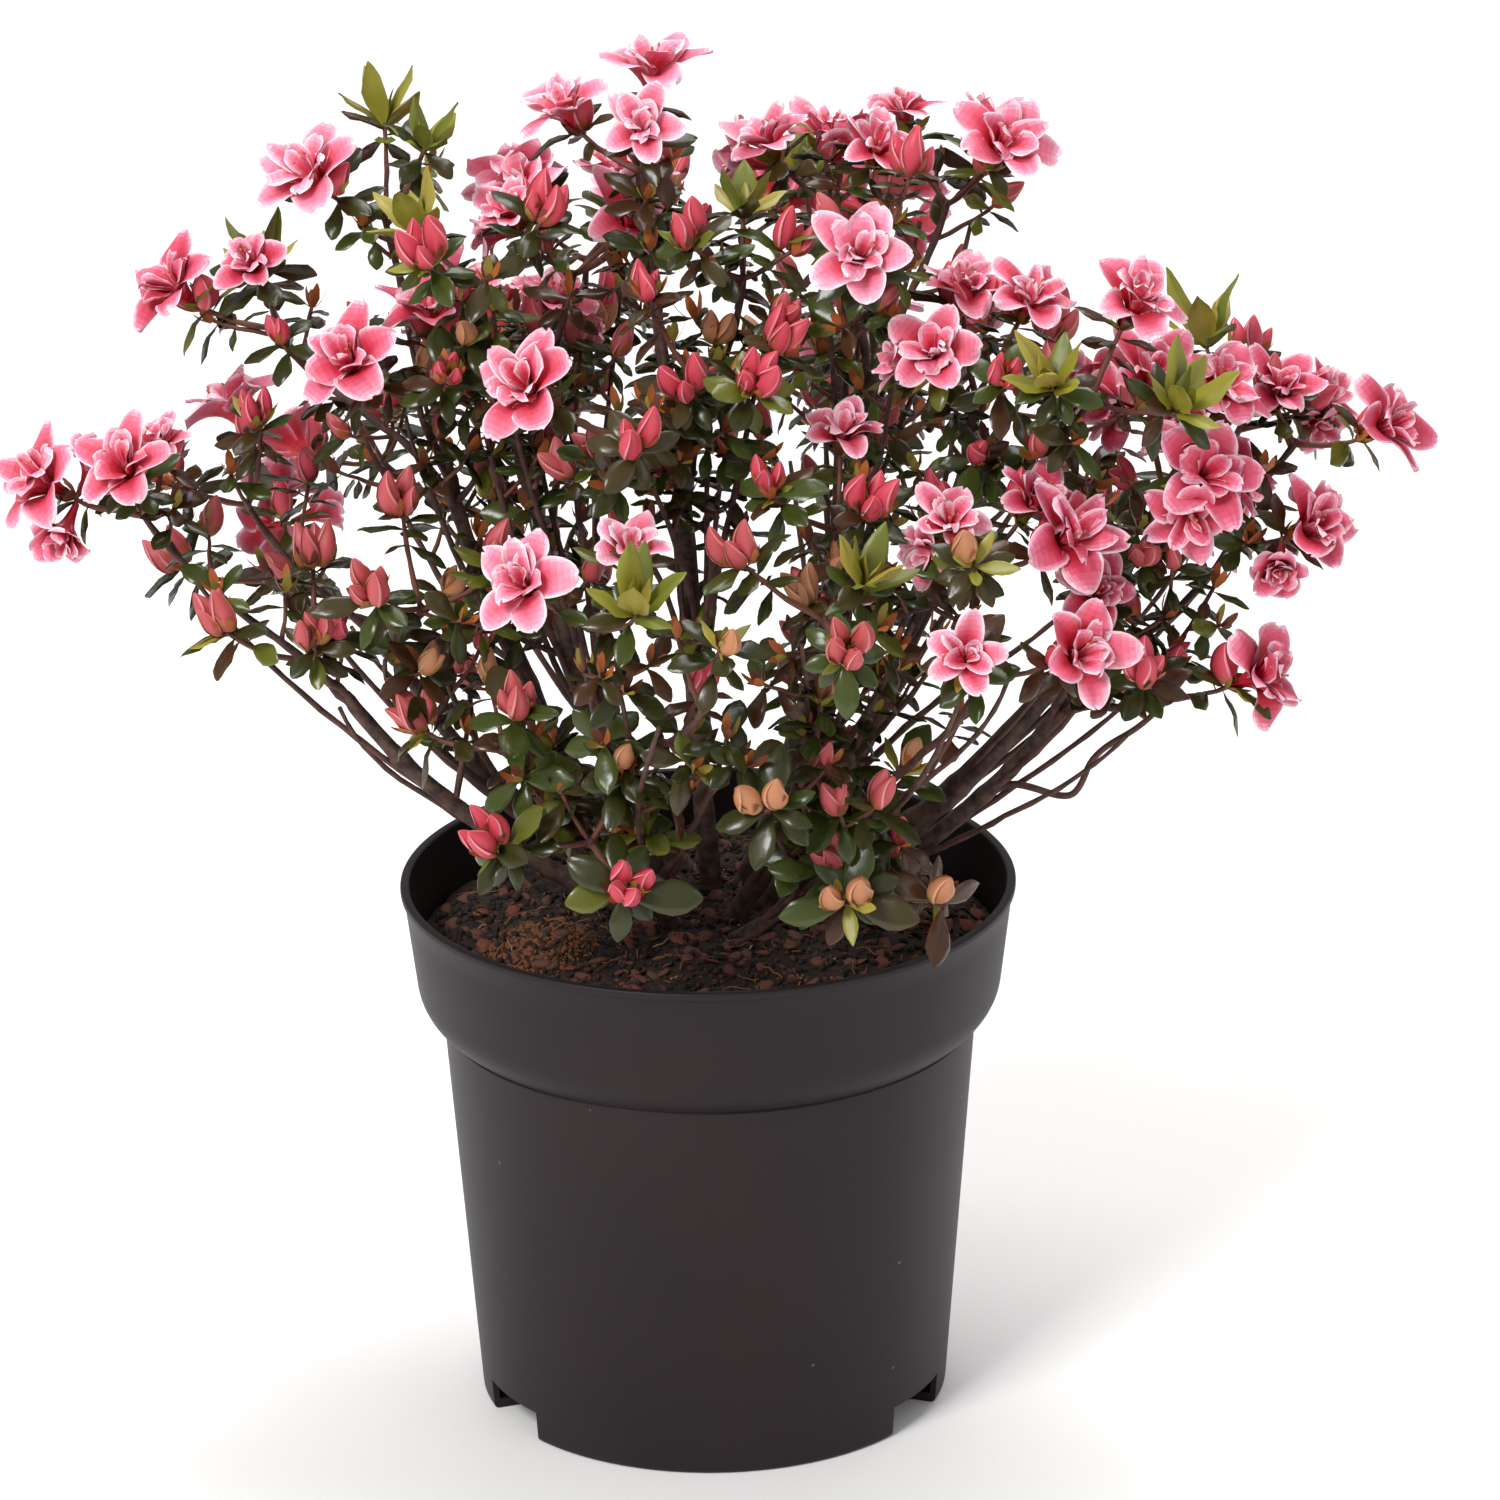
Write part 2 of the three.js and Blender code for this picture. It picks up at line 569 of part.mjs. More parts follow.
// One spray as one solid. What would leave its space or touch another limb is left off.
function spraySolid(spray, plan, stem, obstacles, seed) {
  const random = seeded(seed);
  const fits = (piece) => inSpace(spray, cornersOf(piece)) && clearOf(piece, obstacles);
  const shoots = [...spray.tips].map((_, i) => {
    const choices = twigChoices(spray, plan, i, random);
    const size = 0.92 + 0.12 * random();
    const turn = 360 * random();
    for (const choice of choices) {
      const wood = limb(choice.curve, tapered(TWIG.radius, TWIG.tipRadius), TWIG.sides, TWIG.steps);
      const ending = endingSolids(choice, size, turn);
      if ([wood, ...ending].every(fits)) return { ...choice, wood, ending, turn };
    }
    return null;
  });
  const grown = shoots.filter((shoot) => shoot !== null);
  const kept = [];
  for (const shoot of grown) {
    const others = grown.filter((other) => other !== shoot).flatMap((other) => other.ending);
    const earlier = [...others, ...kept];
    const leaves = rosetteSolids(shoot, random);
    kept.push(...leaves.filter((leaf) => fits(leaf) && clearOf(leaf, earlier)));
  }
  const wood = grown.flatMap((shoot) => [shoot.wood, ...shoot.ending]);
  const whole = wasm.Manifold.union([stem, ...wood, ...kept]).asOriginal();
  const bodies = whole.simplify(FINEST).decompose();
  return bodies.sort((a, b) => b.volume() - a.volume())[0];
}

// ---------------------------------------------------------------- assembly
const finish = (color, roughness) =>
  new THREE.MeshStandardMaterial({ color, roughness, metalness: 0 });
const FINISHES = {
  pot: finish(0x2b292b, 0.55),
  soil: finish(0x3a2113, 1),
  bark: finish(0x4a322a, 0.85),
  foliage: finish(0x2f3a1f, 0.45),
  blossom: finish(0xe0607f, 0.6),
};

const shrub = new THREE.Group();
const pot = potSolid();
const rootBall = rootBallSolid();
shrub.add(meshOf("pot", pot, FINISHES.pot), meshOf("root_ball", rootBall, FINISHES.soil));

const boughs = BOUGHS.map(boughSolid);
BOUGHS.forEach(({ name }, i) => shrub.add(meshOf("bough_" + name, boughs[i], FINISHES.bark)));

const starts = new Map(
  BOUGHS.flatMap((bough) => [
    ...stemStarts(bough, SPRAYS.filter((spray) => spray.bough === bough.name)),
  ]),
);
const plans = SPRAYS.map((spray) => stemPlan(spray, starts.get(spray.name)));
const stems = plans.map(({ curve }) =>
  limb(curve, tapered(STEM.radius, STEM.forkRadius), STEM.sides, STEM.steps),
);
SPRAYS.forEach((spray, i) => {
  const obstacles = [pot, rootBall, ...boughs, ...stems.filter((_, k) => k !== i)];
  const solid = spraySolid(spray, plans[i], stems[i], obstacles, 100 + i);
  const open = [...spray.tips].filter((kind) => kind === "O").length;
  const look = 2 * open > spray.tips.length ? FINISHES.blossom : FINISHES.foliage;
  shrub.add(meshOf("spray_" + spray.name, solid, look));
});

export default shrub;
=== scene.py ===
# A potted azalea in flower: a moulded nursery pot filled with peat, from which boughs fan out to
# sprays of twigs that carry dark old leaves, fresh shoots, buds and pink blossom.
# +Z is up and +Y is the back of the plant. Shapes are worked out in millimetres, and turn into metres
# when a heap of them becomes a piece.
import math

import bpy
import numpy as np
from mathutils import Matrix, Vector, noise


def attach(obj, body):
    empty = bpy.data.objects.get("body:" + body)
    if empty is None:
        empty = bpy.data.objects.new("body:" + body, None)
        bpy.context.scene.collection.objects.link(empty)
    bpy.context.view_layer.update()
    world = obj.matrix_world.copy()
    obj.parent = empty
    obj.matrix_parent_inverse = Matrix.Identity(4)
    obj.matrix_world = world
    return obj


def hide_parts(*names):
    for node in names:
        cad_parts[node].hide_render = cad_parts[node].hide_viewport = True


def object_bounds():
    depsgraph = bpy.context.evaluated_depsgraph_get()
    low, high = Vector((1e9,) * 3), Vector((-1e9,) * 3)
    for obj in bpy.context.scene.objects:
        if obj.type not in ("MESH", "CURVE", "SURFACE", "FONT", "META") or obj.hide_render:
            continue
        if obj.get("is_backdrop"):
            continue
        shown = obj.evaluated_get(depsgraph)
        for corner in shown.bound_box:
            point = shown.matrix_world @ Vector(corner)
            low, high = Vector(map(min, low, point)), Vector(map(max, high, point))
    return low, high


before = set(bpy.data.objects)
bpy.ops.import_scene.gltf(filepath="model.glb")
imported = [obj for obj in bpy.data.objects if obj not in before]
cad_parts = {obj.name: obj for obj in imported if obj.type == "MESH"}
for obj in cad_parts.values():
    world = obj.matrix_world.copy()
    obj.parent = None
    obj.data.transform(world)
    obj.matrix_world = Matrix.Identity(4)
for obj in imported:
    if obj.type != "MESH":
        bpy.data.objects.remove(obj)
cad_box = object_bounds()

# ---------------------------------------------------------------------------------- the view
# A long lens stands in front of the plant and a little above it, and looks slightly down.
CAMERA_AT = Vector((0.0, -2.3228, 1.0944))
AIM = Vector((0.0134, 0.0, 0.2105))
LENS = 194.4
ROLL = math.radians(-0.65)

camera = bpy.data.objects.new("camera", bpy.data.cameras.new("camera"))
camera.data.sensor_width = 36
camera.data.lens = LENS
camera.location = CAMERA_AT
camera.rotation_euler = (AIM - CAMERA_AT).to_track_quat("-Z", "Y").to_euler()
camera.rotation_euler.rotate_axis("Z", ROLL)
bpy.context.scene.collection.objects.link(camera)
bpy.context.scene.camera = camera

# ---------------------------------------------------------------------------------- the studio
# White paper lies under the pot and runs far behind it. A large soft lamp stands at the front left,
# a weaker one at the right, and the room itself is pale.
PAPER_REACH = 9.0
PAPER_WHITE = (250, 249, 248)
ROOM_LIGHT = 0.5
LAMPS = [
    {"name": "key", "at": (-1.3, -1.9, 2.1), "across": 0.9, "watts": 62},
    {"name": "fill", "at": (2.2, -1.5, 1.1), "across": 1.2, "watts": 5},
    {"name": "top", "at": (0.2, 0.8, 2.4), "across": 1.5, "watts": 40},
]


def linear(red, green, blue):
    """A colour as the eye reads it, 0 to 255, as the linear colour that a shader takes."""
    shares = [c / 255 for c in (red, green, blue)]
    return [s / 12.92 if s <= 0.04045 else ((s + 0.055) / 1.055) ** 2.4 for s in shares] + [1.0]


def finish(name, colour, roughness, **sockets):
    """A surface finish with one plain colour."""
    material = bpy.data.materials.new(name)
    material.use_nodes = True
    shader = material.node_tree.nodes["Principled BSDF"]
    shader.inputs["Base Color"].default_value = linear(*colour)
    shader.inputs["Roughness"].default_value = roughness
    for socket, value in sockets.items():
        shader.inputs[socket.replace("_", " ")].default_value = value
    return material


bpy.ops.mesh.primitive_plane_add(size=2 * PAPER_REACH, location=(0, 0, 0))
paper = bpy.context.object
paper.name = "paper"
paper.data.materials.append(finish("white_paper", PAPER_WHITE, 0.9))
paper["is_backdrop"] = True

room = bpy.data.worlds.new("room")
room.use_nodes = True
room.node_tree.nodes["Background"].inputs["Color"].default_value = (1, 1, 1, 1)
room.node_tree.nodes["Background"].inputs["Strength"].default_value = ROOM_LIGHT
bpy.context.scene.world = room
for lamp in LAMPS:
    light = bpy.data.lights.new(lamp["name"], "AREA")
    light.energy = lamp["watts"]
    light.size = lamp["across"]
    holder = bpy.data.objects.new(lamp["name"], light)
    holder.location = lamp["at"]
    holder.rotation_euler = (AIM - holder.location).to_track_quat("-Z", "Y").to_euler()
    bpy.context.scene.collection.objects.link(holder)
bpy.context.scene.view_settings.view_transform = "Standard"

# ---------------------------------------------------------------------------------- the pot
# One moulding of dark grey polypropylene: a tapering body, a rounded shoulder above a fine crease, a
# deep collar and a beaded lip. Three notches in its foot let water out.
MM = 0.001
POT = {
    "height": 169, "rim": 95, "collar_foot": 90.5, "collar": 44, "shoulder": 13, "body_top": 82.5,
    "base": 73, "wall": 1.8, "floor": 3, "lip": 2.7, "lip_out": 1.0, "base_round": 2,
}
CREASE = {"deep": 0.35, "high": 0.5}
NOTCH = {"count": 3, "half_deg": 11, "height": 10, "depth": 11, "first_deg": -30, "past": 5}
POT_SIDES = 192
POT_GREYS = [(30, 22, 24), (36, 27, 29)]
POT_FLECK = (96, 88, 82)
PLASTIC = {"rough": 0.5, "worn": (0.44, 0.58), "cloud": 16, "cloud_stops": (0.35, 0.7), "fleck": 62,
           "fleck_stops": (0.025, 0.04), "grain": 900, "grain_depth": 0.2, "grain_strength": 0.12}
SHARP_DEG = 38


def bend(start, corner, end, steps):
    """Points on the rounded way from start to end, drawn towards corner."""
    start, corner, end = (np.array(p, float) for p in (start, corner, end))
    t = np.linspace(0, 1, steps + 1)[:, None]
    return [tuple(p) for p in (1 - t) ** 2 * start + 2 * t * (1 - t) * corner + t**2 * end]


def straight(start, end, steps):
    """Points on the straight way from start to end."""
    return [tuple(p) for p in np.linspace(start, end, steps + 1)]


def pot_outline():
    """Half the pot's section, from its underside up the outside and down the inside."""
    height, rim, wall, base = POT["height"], POT["rim"], POT["wall"], POT["base"]
    low, crease = POT["base_round"], POT["height"] - POT["collar"]
    body_top, foot, shoulder_top = POT["body_top"], POT["collar_foot"], crease + POT["shoulder"]
    under_lip = height - POT["lip"]
    collar_top = rim - POT["lip_out"]
    outside = [
        *bend((base - low, 0), (base, 0), (base, low), 5),
        *straight((base, low), (body_top, crease - CREASE["high"]), 8)[1:],
        (body_top - CREASE["deep"], crease),
        *bend((body_top + 0.1, crease + CREASE["high"]), (foot - 0.7, crease + 5),
              (foot, shoulder_top), 14),
        *straight((foot, shoulder_top), (collar_top, under_lip), 4)[1:],
        *bend((collar_top + 0.1, under_lip + 0.1), (rim, under_lip + 0.1), (rim, under_lip + 1), 4),
        *bend((rim, height - 0.8), (rim, height), (rim - 0.9, height), 4),
    ]
    inner_rim = collar_top - wall
    inside = [
        *bend((inner_rim + 0.7, height), (inner_rim, height), (inner_rim - 0.05, height - 0.8), 3),
        *straight((inner_rim - 0.1, under_lip), (foot - wall, shoulder_top), 4),
        *bend((foot - wall, shoulder_top - 1), (foot - wall, crease + 5), (body_top - wall, crease), 6),
        *straight((body_top - wall, crease - 1), (base - wall, POT["floor"]), 5),
    ]
    return outside + inside


def turned(outline, sides):
    """The outline turned round the pot's middle, as one ring of points for each of its points."""
    turns = np.linspace(0, 2 * math.pi, sides, endpoint=False)
    return np.array([[(r * math.cos(a), r * math.sin(a), z) for a in turns] for r, z in outline])


def notch_wedge(k):
    """The block that one notch is cut with."""
    middle = NOTCH["first_deg"] + 360 / NOTCH["count"] * k
    low, high = (math.radians(middle + side * NOTCH["half_deg"]) for side in (-1, 1))
    near, far = POT["base"] - NOTCH["depth"], POT["base"] + NOTCH["past"]
    corners = [(near, low), (far, low), (far, high), (near, high)]
    return np.array([[(r * math.cos(a), r * math.sin(a), z) for r, a in corners]
                     for z in (-NOTCH["past"], NOTCH["height"])])


def closed_piece(name, solids):
    """Solids as one object. Each is given as rings of points, and closed by a flat face at both ends."""
    points, faces = [], []
    for rings in solids:
        index = np.arange(rings.shape[0] * rings.shape[1]).reshape(rings.shape[:2]) + len(points)
        ahead = np.roll(index, -1, axis=1)
        quads = np.stack([index[:-1], ahead[:-1], ahead[1:], index[1:]], axis=-1)
        faces += [*quads.reshape(-1, 4).tolist(), index[0][::-1].tolist(), index[-1].tolist()]
        points += (rings.reshape(-1, 3) * MM).tolist()
    mesh = bpy.data.meshes.new(name)
    mesh.from_pydata(points, [], faces)
    piece = bpy.data.objects.new(name, mesh)
    bpy.context.scene.collection.objects.link(piece)
    return piece


def textured(material, kind, scale, detail=None):
    """A texture that is fixed to the piece."""
    nodes = material.node_tree.nodes
    place, texture = nodes.new("ShaderNodeTexCoord"), nodes.new(kind)
    texture.inputs["Scale"].default_value = scale
    if detail:
        texture.inputs["Detail"].default_value = detail
    material.node_tree.links.new(place.outputs["Object"], texture.inputs["Vector"])
    return texture


def ramped(material, source, stops, colours):
    """A ramp that turns the strength of a texture into colours."""
    ramp = material.node_tree.nodes.new("ShaderNodeValToRGB")
    for stop, at, colour in zip(ramp.color_ramp.elements, stops, colours):
        stop.position = at
        stop.color = linear(*colour)
    material.node_tree.links.new(source, ramp.inputs["Fac"])
    return ramp.outputs["Color"]


def roughened(material, scale, depth, strength=0.6, detail=5):
    """Fine relief all over a finish. Its depth is in millimetres."""
    nodes, links = material.node_tree.nodes, material.node_tree.links
    grain = textured(material, "ShaderNodeTexNoise", scale, detail)
    bump = nodes.new("ShaderNodeBump")
    bump.inputs["Strength"].default_value = strength
    bump.inputs["Distance"].default_value = depth * MM
    links.new(grain.outputs["Fac"], bump.inputs["Height"])
    links.new(bump.outputs["Normal"], nodes["Principled BSDF"].inputs["Normal"])
    return material


def moulded_plastic():
    """Dark plastic, a little cloudy with wear and flecked with pale dust."""
    material = finish("dark_polypropylene", POT_GREYS[0], PLASTIC["rough"], Specular_IOR_Level=0.24)
    roughened(material, PLASTIC["grain"], PLASTIC["grain_depth"], PLASTIC["grain_strength"], None)
    nodes, links = material.node_tree.nodes, material.node_tree.links
    shader = nodes["Principled BSDF"]
    cloud = textured(material, "ShaderNodeTexNoise", PLASTIC["cloud"], 6).outputs["Fac"]
    flecks = textured(material, "ShaderNodeTexVoronoi", PLASTIC["fleck"]).outputs["Distance"]
    mix = nodes.new("ShaderNodeMix")
    mix.data_type = "RGBA"
    mix.inputs[7].default_value = linear(*POT_FLECK)
    worn = nodes.new("ShaderNodeMapRange")
    worn.inputs["To Min"].default_value, worn.inputs["To Max"].default_value = PLASTIC["worn"]
    fleck_share = ramped(material, flecks, PLASTIC["fleck_stops"], [(255, 255, 255), (0, 0, 0)])
    links.new(fleck_share, mix.inputs[0])
    links.new(ramped(material, cloud, PLASTIC["cloud_stops"], POT_GREYS), mix.inputs[6])
    links.new(mix.outputs[2], shader.inputs["Base Color"])
    links.new(cloud, worn.inputs["Value"])
    links.new(worn.outputs["Result"], shader.inputs["Roughness"])
    return material


moulded_pot = closed_piece("moulded_pot", [turned(pot_outline(), POT_SIDES)])
wedges = closed_piece("notch_wedges", [notch_wedge(k) for k in range(NOTCH["count"])])
cut = moulded_pot.modifiers.new("notches", "BOOLEAN")
cut.operation = "DIFFERENCE"
cut.solver = "EXACT"
cut.object = wedges
bpy.context.view_layer.objects.active = moulded_pot
bpy.ops.object.modifier_apply(modifier=cut.name)
bpy.data.objects.remove(wedges)
moulded_pot.data.shade_smooth()
moulded_pot.data.set_sharp_from_angle(angle=math.radians(SHARP_DEG))
moulded_pot.data.materials.clear()
moulded_pot.data.materials.append(moulded_plastic())
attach(moulded_pot, "root")
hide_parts("pot")

# ---------------------------------------------------------------------------------- the soil
# Damp black peat, crumbly on top and higher at the front than at the sides. A clod of paler fibre lies
# at the front left. The mix has bits of bark, coir fibre and dry leaf in it.
SOIL = {"crest": 160, "crest_radius": 40, "edge": 150, "edge_radius": 89.3, "settled": 1.2}
SOIL_WALL = [(88, 139), (79.5, 124), (70.5, 11), (61, 10.8), (61, 3.6)]
SOIL_FRONT = {"half_turn": 0.9, "share": 0.55}
SOIL_ROUGH = [(15, 0, 1.6), (6, 5, 1.1), (2.6, 9, 0.7), (1.3, 3, 0.4)]
CLOD = {"at": (-54, -32), "radius": 19, "rise": 5.5, "crumbs": 900, "crumb_size": (0.8, 2.2)}
SOIL_RINGS = 70
SOIL_SIDES = 200
SOIL_REACH = {"crumbs": 86.0, "fibres": 78.0}
PEAT = [(24, 16, 12), (50, 33, 23)]
CRUMBS = {
    "black_crumb": {"colour": (30, 20, 15), "count": 1300, "size": (0.9, 3.2), "flat": 0.75},
    "brown_crumb": {"colour": (64, 40, 27), "count": 1000, "size": (0.8, 2.8), "flat": 0.7},
    "rust_crumb": {"colour": (116, 68, 36), "count": 380, "size": (0.6, 2.0), "flat": 0.6},
    "pale_crumb": {"colour": (160, 122, 78), "count": 50, "size": (0.5, 1.3), "flat": 0.6},
    "bark_chip": {"colour": (92, 57, 42), "count": 330, "size": (2.8, 6.8), "flat": 0.34},
    "dry_leaf": {"colour": (112, 56, 44), "count": 100, "size": (4.0, 8.0), "flat": 0.14},
}
FIBRES = {
    "rust_fibre": {"colour": (132, 84, 46), "count": 110},
    "dark_fibre": {"colour": (58, 38, 28), "count": 150},
    "straw_fibre": {"colour": (170, 136, 92), "count": 16},
}
rng = np.random.default_rng(11)


def soil_height(x, y):
    """The height of the peat over a point of the pot."""
    out = math.hypot(x, y)
    slope = max(0.0, out - SOIL["crest_radius"]) / (SOIL["edge_radius"] - SOIL["crest_radius"])
    front = math.exp(-((math.atan2(x, -y) / SOIL_FRONT["half_turn"]) ** 2))
    fall = (SOIL["crest"] - SOIL["edge"]) * slope**1.3 * (1 - SOIL_FRONT["share"] * front)
    near_clod = math.hypot(x - CLOD["at"][0], y - CLOD["at"][1]) / CLOD["radius"]
    clod = CLOD["rise"] * math.exp(-(near_clod**4))
    rough = sum(high * noise.noise((x / wide, y / wide, layer)) for wide, layer, high in SOIL_ROUGH)
    return SOIL["crest"] - SOIL["settled"] - fall + clod + rough


class Heap:
    """Many small things that are gathered face by face and become one mesh."""

    def __init__(self):
        self.points = []
        self.quads = []
        self.quad_zones = []
        self.fans = []
        self.fan_zones = []
        self.count = 0

    def numbered(self, grid):
        rows, columns, _ = grid.shape
        index = np.arange(rows * columns).reshape(rows, columns) + self.count
        self.points.append(grid.reshape(-1, 3))
        self.count += rows * columns
        return index

    def add_quads(self, here, ahead, zones):
        quads = np.stack([here[:-1], ahead[:-1], ahead[1:], here[1:]], axis=-1)
        spread = np.broadcast_to(zones, quads.shape[:2])
        self.quads.append(quads.reshape(-1, 4))
        self.quad_zones.append(spread.ravel())
        return spread

    def add_sheet(self, grid, zones=0):
        """An open sheet of rows and columns of points. Each face has the finish of its zone."""
        index = self.numbered(grid)
        self.add_quads(index[:, :-1], index[:, 1:], zones)

    def add_solid(self, rings, zones=0):
        """Rings of points joined into a closed skin with a flat face at each end."""
        index = self.numbered(rings)
        spread = self.add_quads(index, np.roll(index, -1, axis=1), zones)
        for ring, zone in ((index[0][::-1], spread[0, 0]), (index[-1], spread[-1, 0])):
            fan = [(ring[0], ring[k], ring[k + 1]) for k in range(1, len(ring) - 1)]
            self.fans += fan
            self.fan_zones += [zone] * len(fan)

    def as_piece(self, name, finishes):
        """The heap as one object, with its points turned from millimetres into metres."""
        quads = np.concatenate(self.quads)
        fans = np.array(self.fans, int).reshape(-1, 3)
        mesh = bpy.data.meshes.new(name)
        mesh.vertices.add(self.count)
        mesh.vertices.foreach_set("co", np.concatenate(self.points).ravel() * MM)
        mesh.loops.add(quads.size + fans.size)
        mesh.loops.foreach_set("vertex_index", np.concatenate([quads.ravel(), fans.ravel()]))
        mesh.polygons.add(len(quads) + len(fans))
        starts = [np.arange(len(quads)) * 4, quads.size + np.arange(len(fans)) * 3]
        mesh.polygons.foreach_set("loop_start", np.concatenate(starts))
        zones = np.concatenate([*self.quad_zones, np.array(self.fan_zones, int)])
        mesh.polygons.foreach_set("material_index", zones)
        mesh.update(calc_edges=True)
        mesh.shade_smooth()
        for material in finishes:
            mesh.materials.append(material)
        piece = bpy.data.objects.new(name, mesh)
        bpy.context.scene.collection.objects.link(piece)
        return piece


def unit(v):
    """The direction of v."""
    return v / np.linalg.norm(v)


def swept(course, radii, sides, start=0.0):
    """Rings of points round a course, with a radius for each of its points."""
    ahead = np.gradient(course, axis=0)
    ahead /= np.linalg.norm(ahead, axis=1)[:, None]
    side = unit(np.cross(ahead[0], (0.31, 0.82, 0.47)))
    turns = start + np.linspace(0, 2 * math.pi, sides, endpoint=False)
    rings = np.empty((len(course), sides, 3))
    radii = np.broadcast_to(np.asarray(radii, float).reshape(len(course), -1), (len(course), sides))
    for k, way in enumerate(ahead):
        side = unit(side - way * (side @ way))
        other = np.cross(way, side)
        round_it = np.cos(turns)[:, None] * side + np.sin(turns)[:, None] * other
        rings[k] = course[k] + radii[k][:, None] * round_it
    return rings


def mottled(material, scale, colours):
    """The finish's colour drifts between two colours."""
    cloud = textured(material, "ShaderNodeTexNoise", scale, 6)
    drift = ramped(material, cloud.outputs["Fac"], (0.38, 0.62), colours)
    shader = material.node_tree.nodes["Principled BSDF"]
    material.node_tree.links.new(drift, shader.inputs["Base Color"])
    return material


def soil_rings():
    """The peat's skin from the pot's floor up the wall, then over its top to the middle."""
    outs = np.linspace(0.4, SOIL["edge_radius"], SOIL_RINGS)
    top = turned([(r, 0) for r in outs], SOIL_SIDES)
    top[..., 2] = [[soil_height(x, y) for x, y, _ in ring] for ring in top]
    return np.concatenate([top, turned(SOIL_WALL, SOIL_SIDES)])[::-1]


def on_soil(reach):
    """A random place on the peat, more often at the front."""
    while True:
        x, y = rng.uniform(-reach, reach, 2)
        if math.hypot(x, y) < reach and (y < 20 or rng.random() < 0.6):
            return np.array([x, y, soil_height(x, y)])


def lump(centre, size, flat):
    """A small broken bit, with its widest side lying down."""
    turns = np.linspace(0, 2 * math.pi, 6, endpoint=False) + rng.uniform(0, 6)
    long, wide = size * rng.uniform(0.8, 1.3), size * rng.uniform(0.5, 0.9)
    lean = rng.normal(0, 0.35, 2)
    grid = np.empty((4, 6, 3))
    for k, (up, out) in enumerate(zip((-1, -0.45, 0.45, 1), (0.45, 1.0, 0.95, 0.4))):
        jag = rng.uniform(0.75, 1.2, 6)
        grid[k, :, 0] = np.cos(turns) * long / 2 * out * jag
        grid[k, :, 1] = np.sin(turns) * wide / 2 * out * jag
        grid[k, :, 2] = up * size / 2 * flat + grid[k, :, :2] @ lean
    spin = rng.uniform(0, 2 * math.pi)
    along, beside = (math.cos(spin), math.sin(spin), 0), (-math.sin(spin), math.cos(spin), 0)
    return grid @ np.array([along, beside, (0, 0, 1)]) + centre


def fibre(centre):
    """A bent length of coir, about half a millimetre thick."""
    spin, length = rng.uniform(0, 2 * math.pi), rng.uniform(3, 10)
    way = np.array([math.cos(spin), math.sin(spin), 0])
    side = np.array([-way[1], way[0], 0])
    t = np.linspace(-0.5, 0.5, 6)[:, None]
    bow = rng.normal(0, 0.35) * length
    course = centre + way * t * length + side * bow * (t**2 - 0.1)
    course[:, 2] = [soil_height(x, y) + 0.9 + rng.uniform(0, 0.9) for x, y, _ in course]
    return swept(course, np.full(6, rng.uniform(0.16, 0.34)), 3)


peat = Heap()
peat.add_solid(soil_rings())
peat_finish = roughened(mottled(finish("damp_peat", PEAT[0], 0.92), 420, PEAT), 700, 0.6, 0.9)
potting_soil = peat.as_piece("potting_soil", [peat_finish])
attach(potting_soil, "root")
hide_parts("root_ball")

crumbs = Heap()
for zone, kind in enumerate(CRUMBS.values()):
    for _ in range(kind["count"]):
        at = on_soil(SOIL_REACH["crumbs"])
        size = rng.uniform(*kind["size"])
        crumbs.add_solid(lump(at + (0, 0, size * kind["flat"] * 0.3), size, kind["flat"]), zone)
brown, rust = 1, 2
for _ in range(CLOD["crumbs"]):
    spin, out = rng.uniform(0, 2 * math.pi), CLOD["radius"] * math.sqrt(rng.random()) * 1.05
    x, y = CLOD["at"][0] + out * math.cos(spin), CLOD["at"][1] + out * math.sin(spin)
    size = rng.uniform(*CLOD["crumb_size"])
    bit = lump(np.array([x, y, soil_height(x, y) + 0.3]), size, 0.7)
    crumbs.add_solid(bit, rng.choice([brown, rust, rust]))
crumb_finishes = [roughened(finish(name, kind["colour"], 0.85), 900, 0.4) for name, kind in CRUMBS.items()]
soil_crumbs = crumbs.as_piece("soil_crumbs", crumb_finishes)
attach(soil_crumbs, "root")
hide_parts("root_ball")

fibres = Heap()
for zone, kind in enumerate(FIBRES.values()):
    for _ in range(kind["count"]):
        fibres.add_solid(fibre(on_soil(SOIL_REACH["fibres"])), zone)
fibre_finishes = [roughened(finish(name, kind["colour"], 0.8), 900, 0.2) for name, kind in FIBRES.items()]
coir_fibres = fibres.as_piece("coir_fibres", fibre_finishes)
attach(coir_fibres, "root")
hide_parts("root_ball")

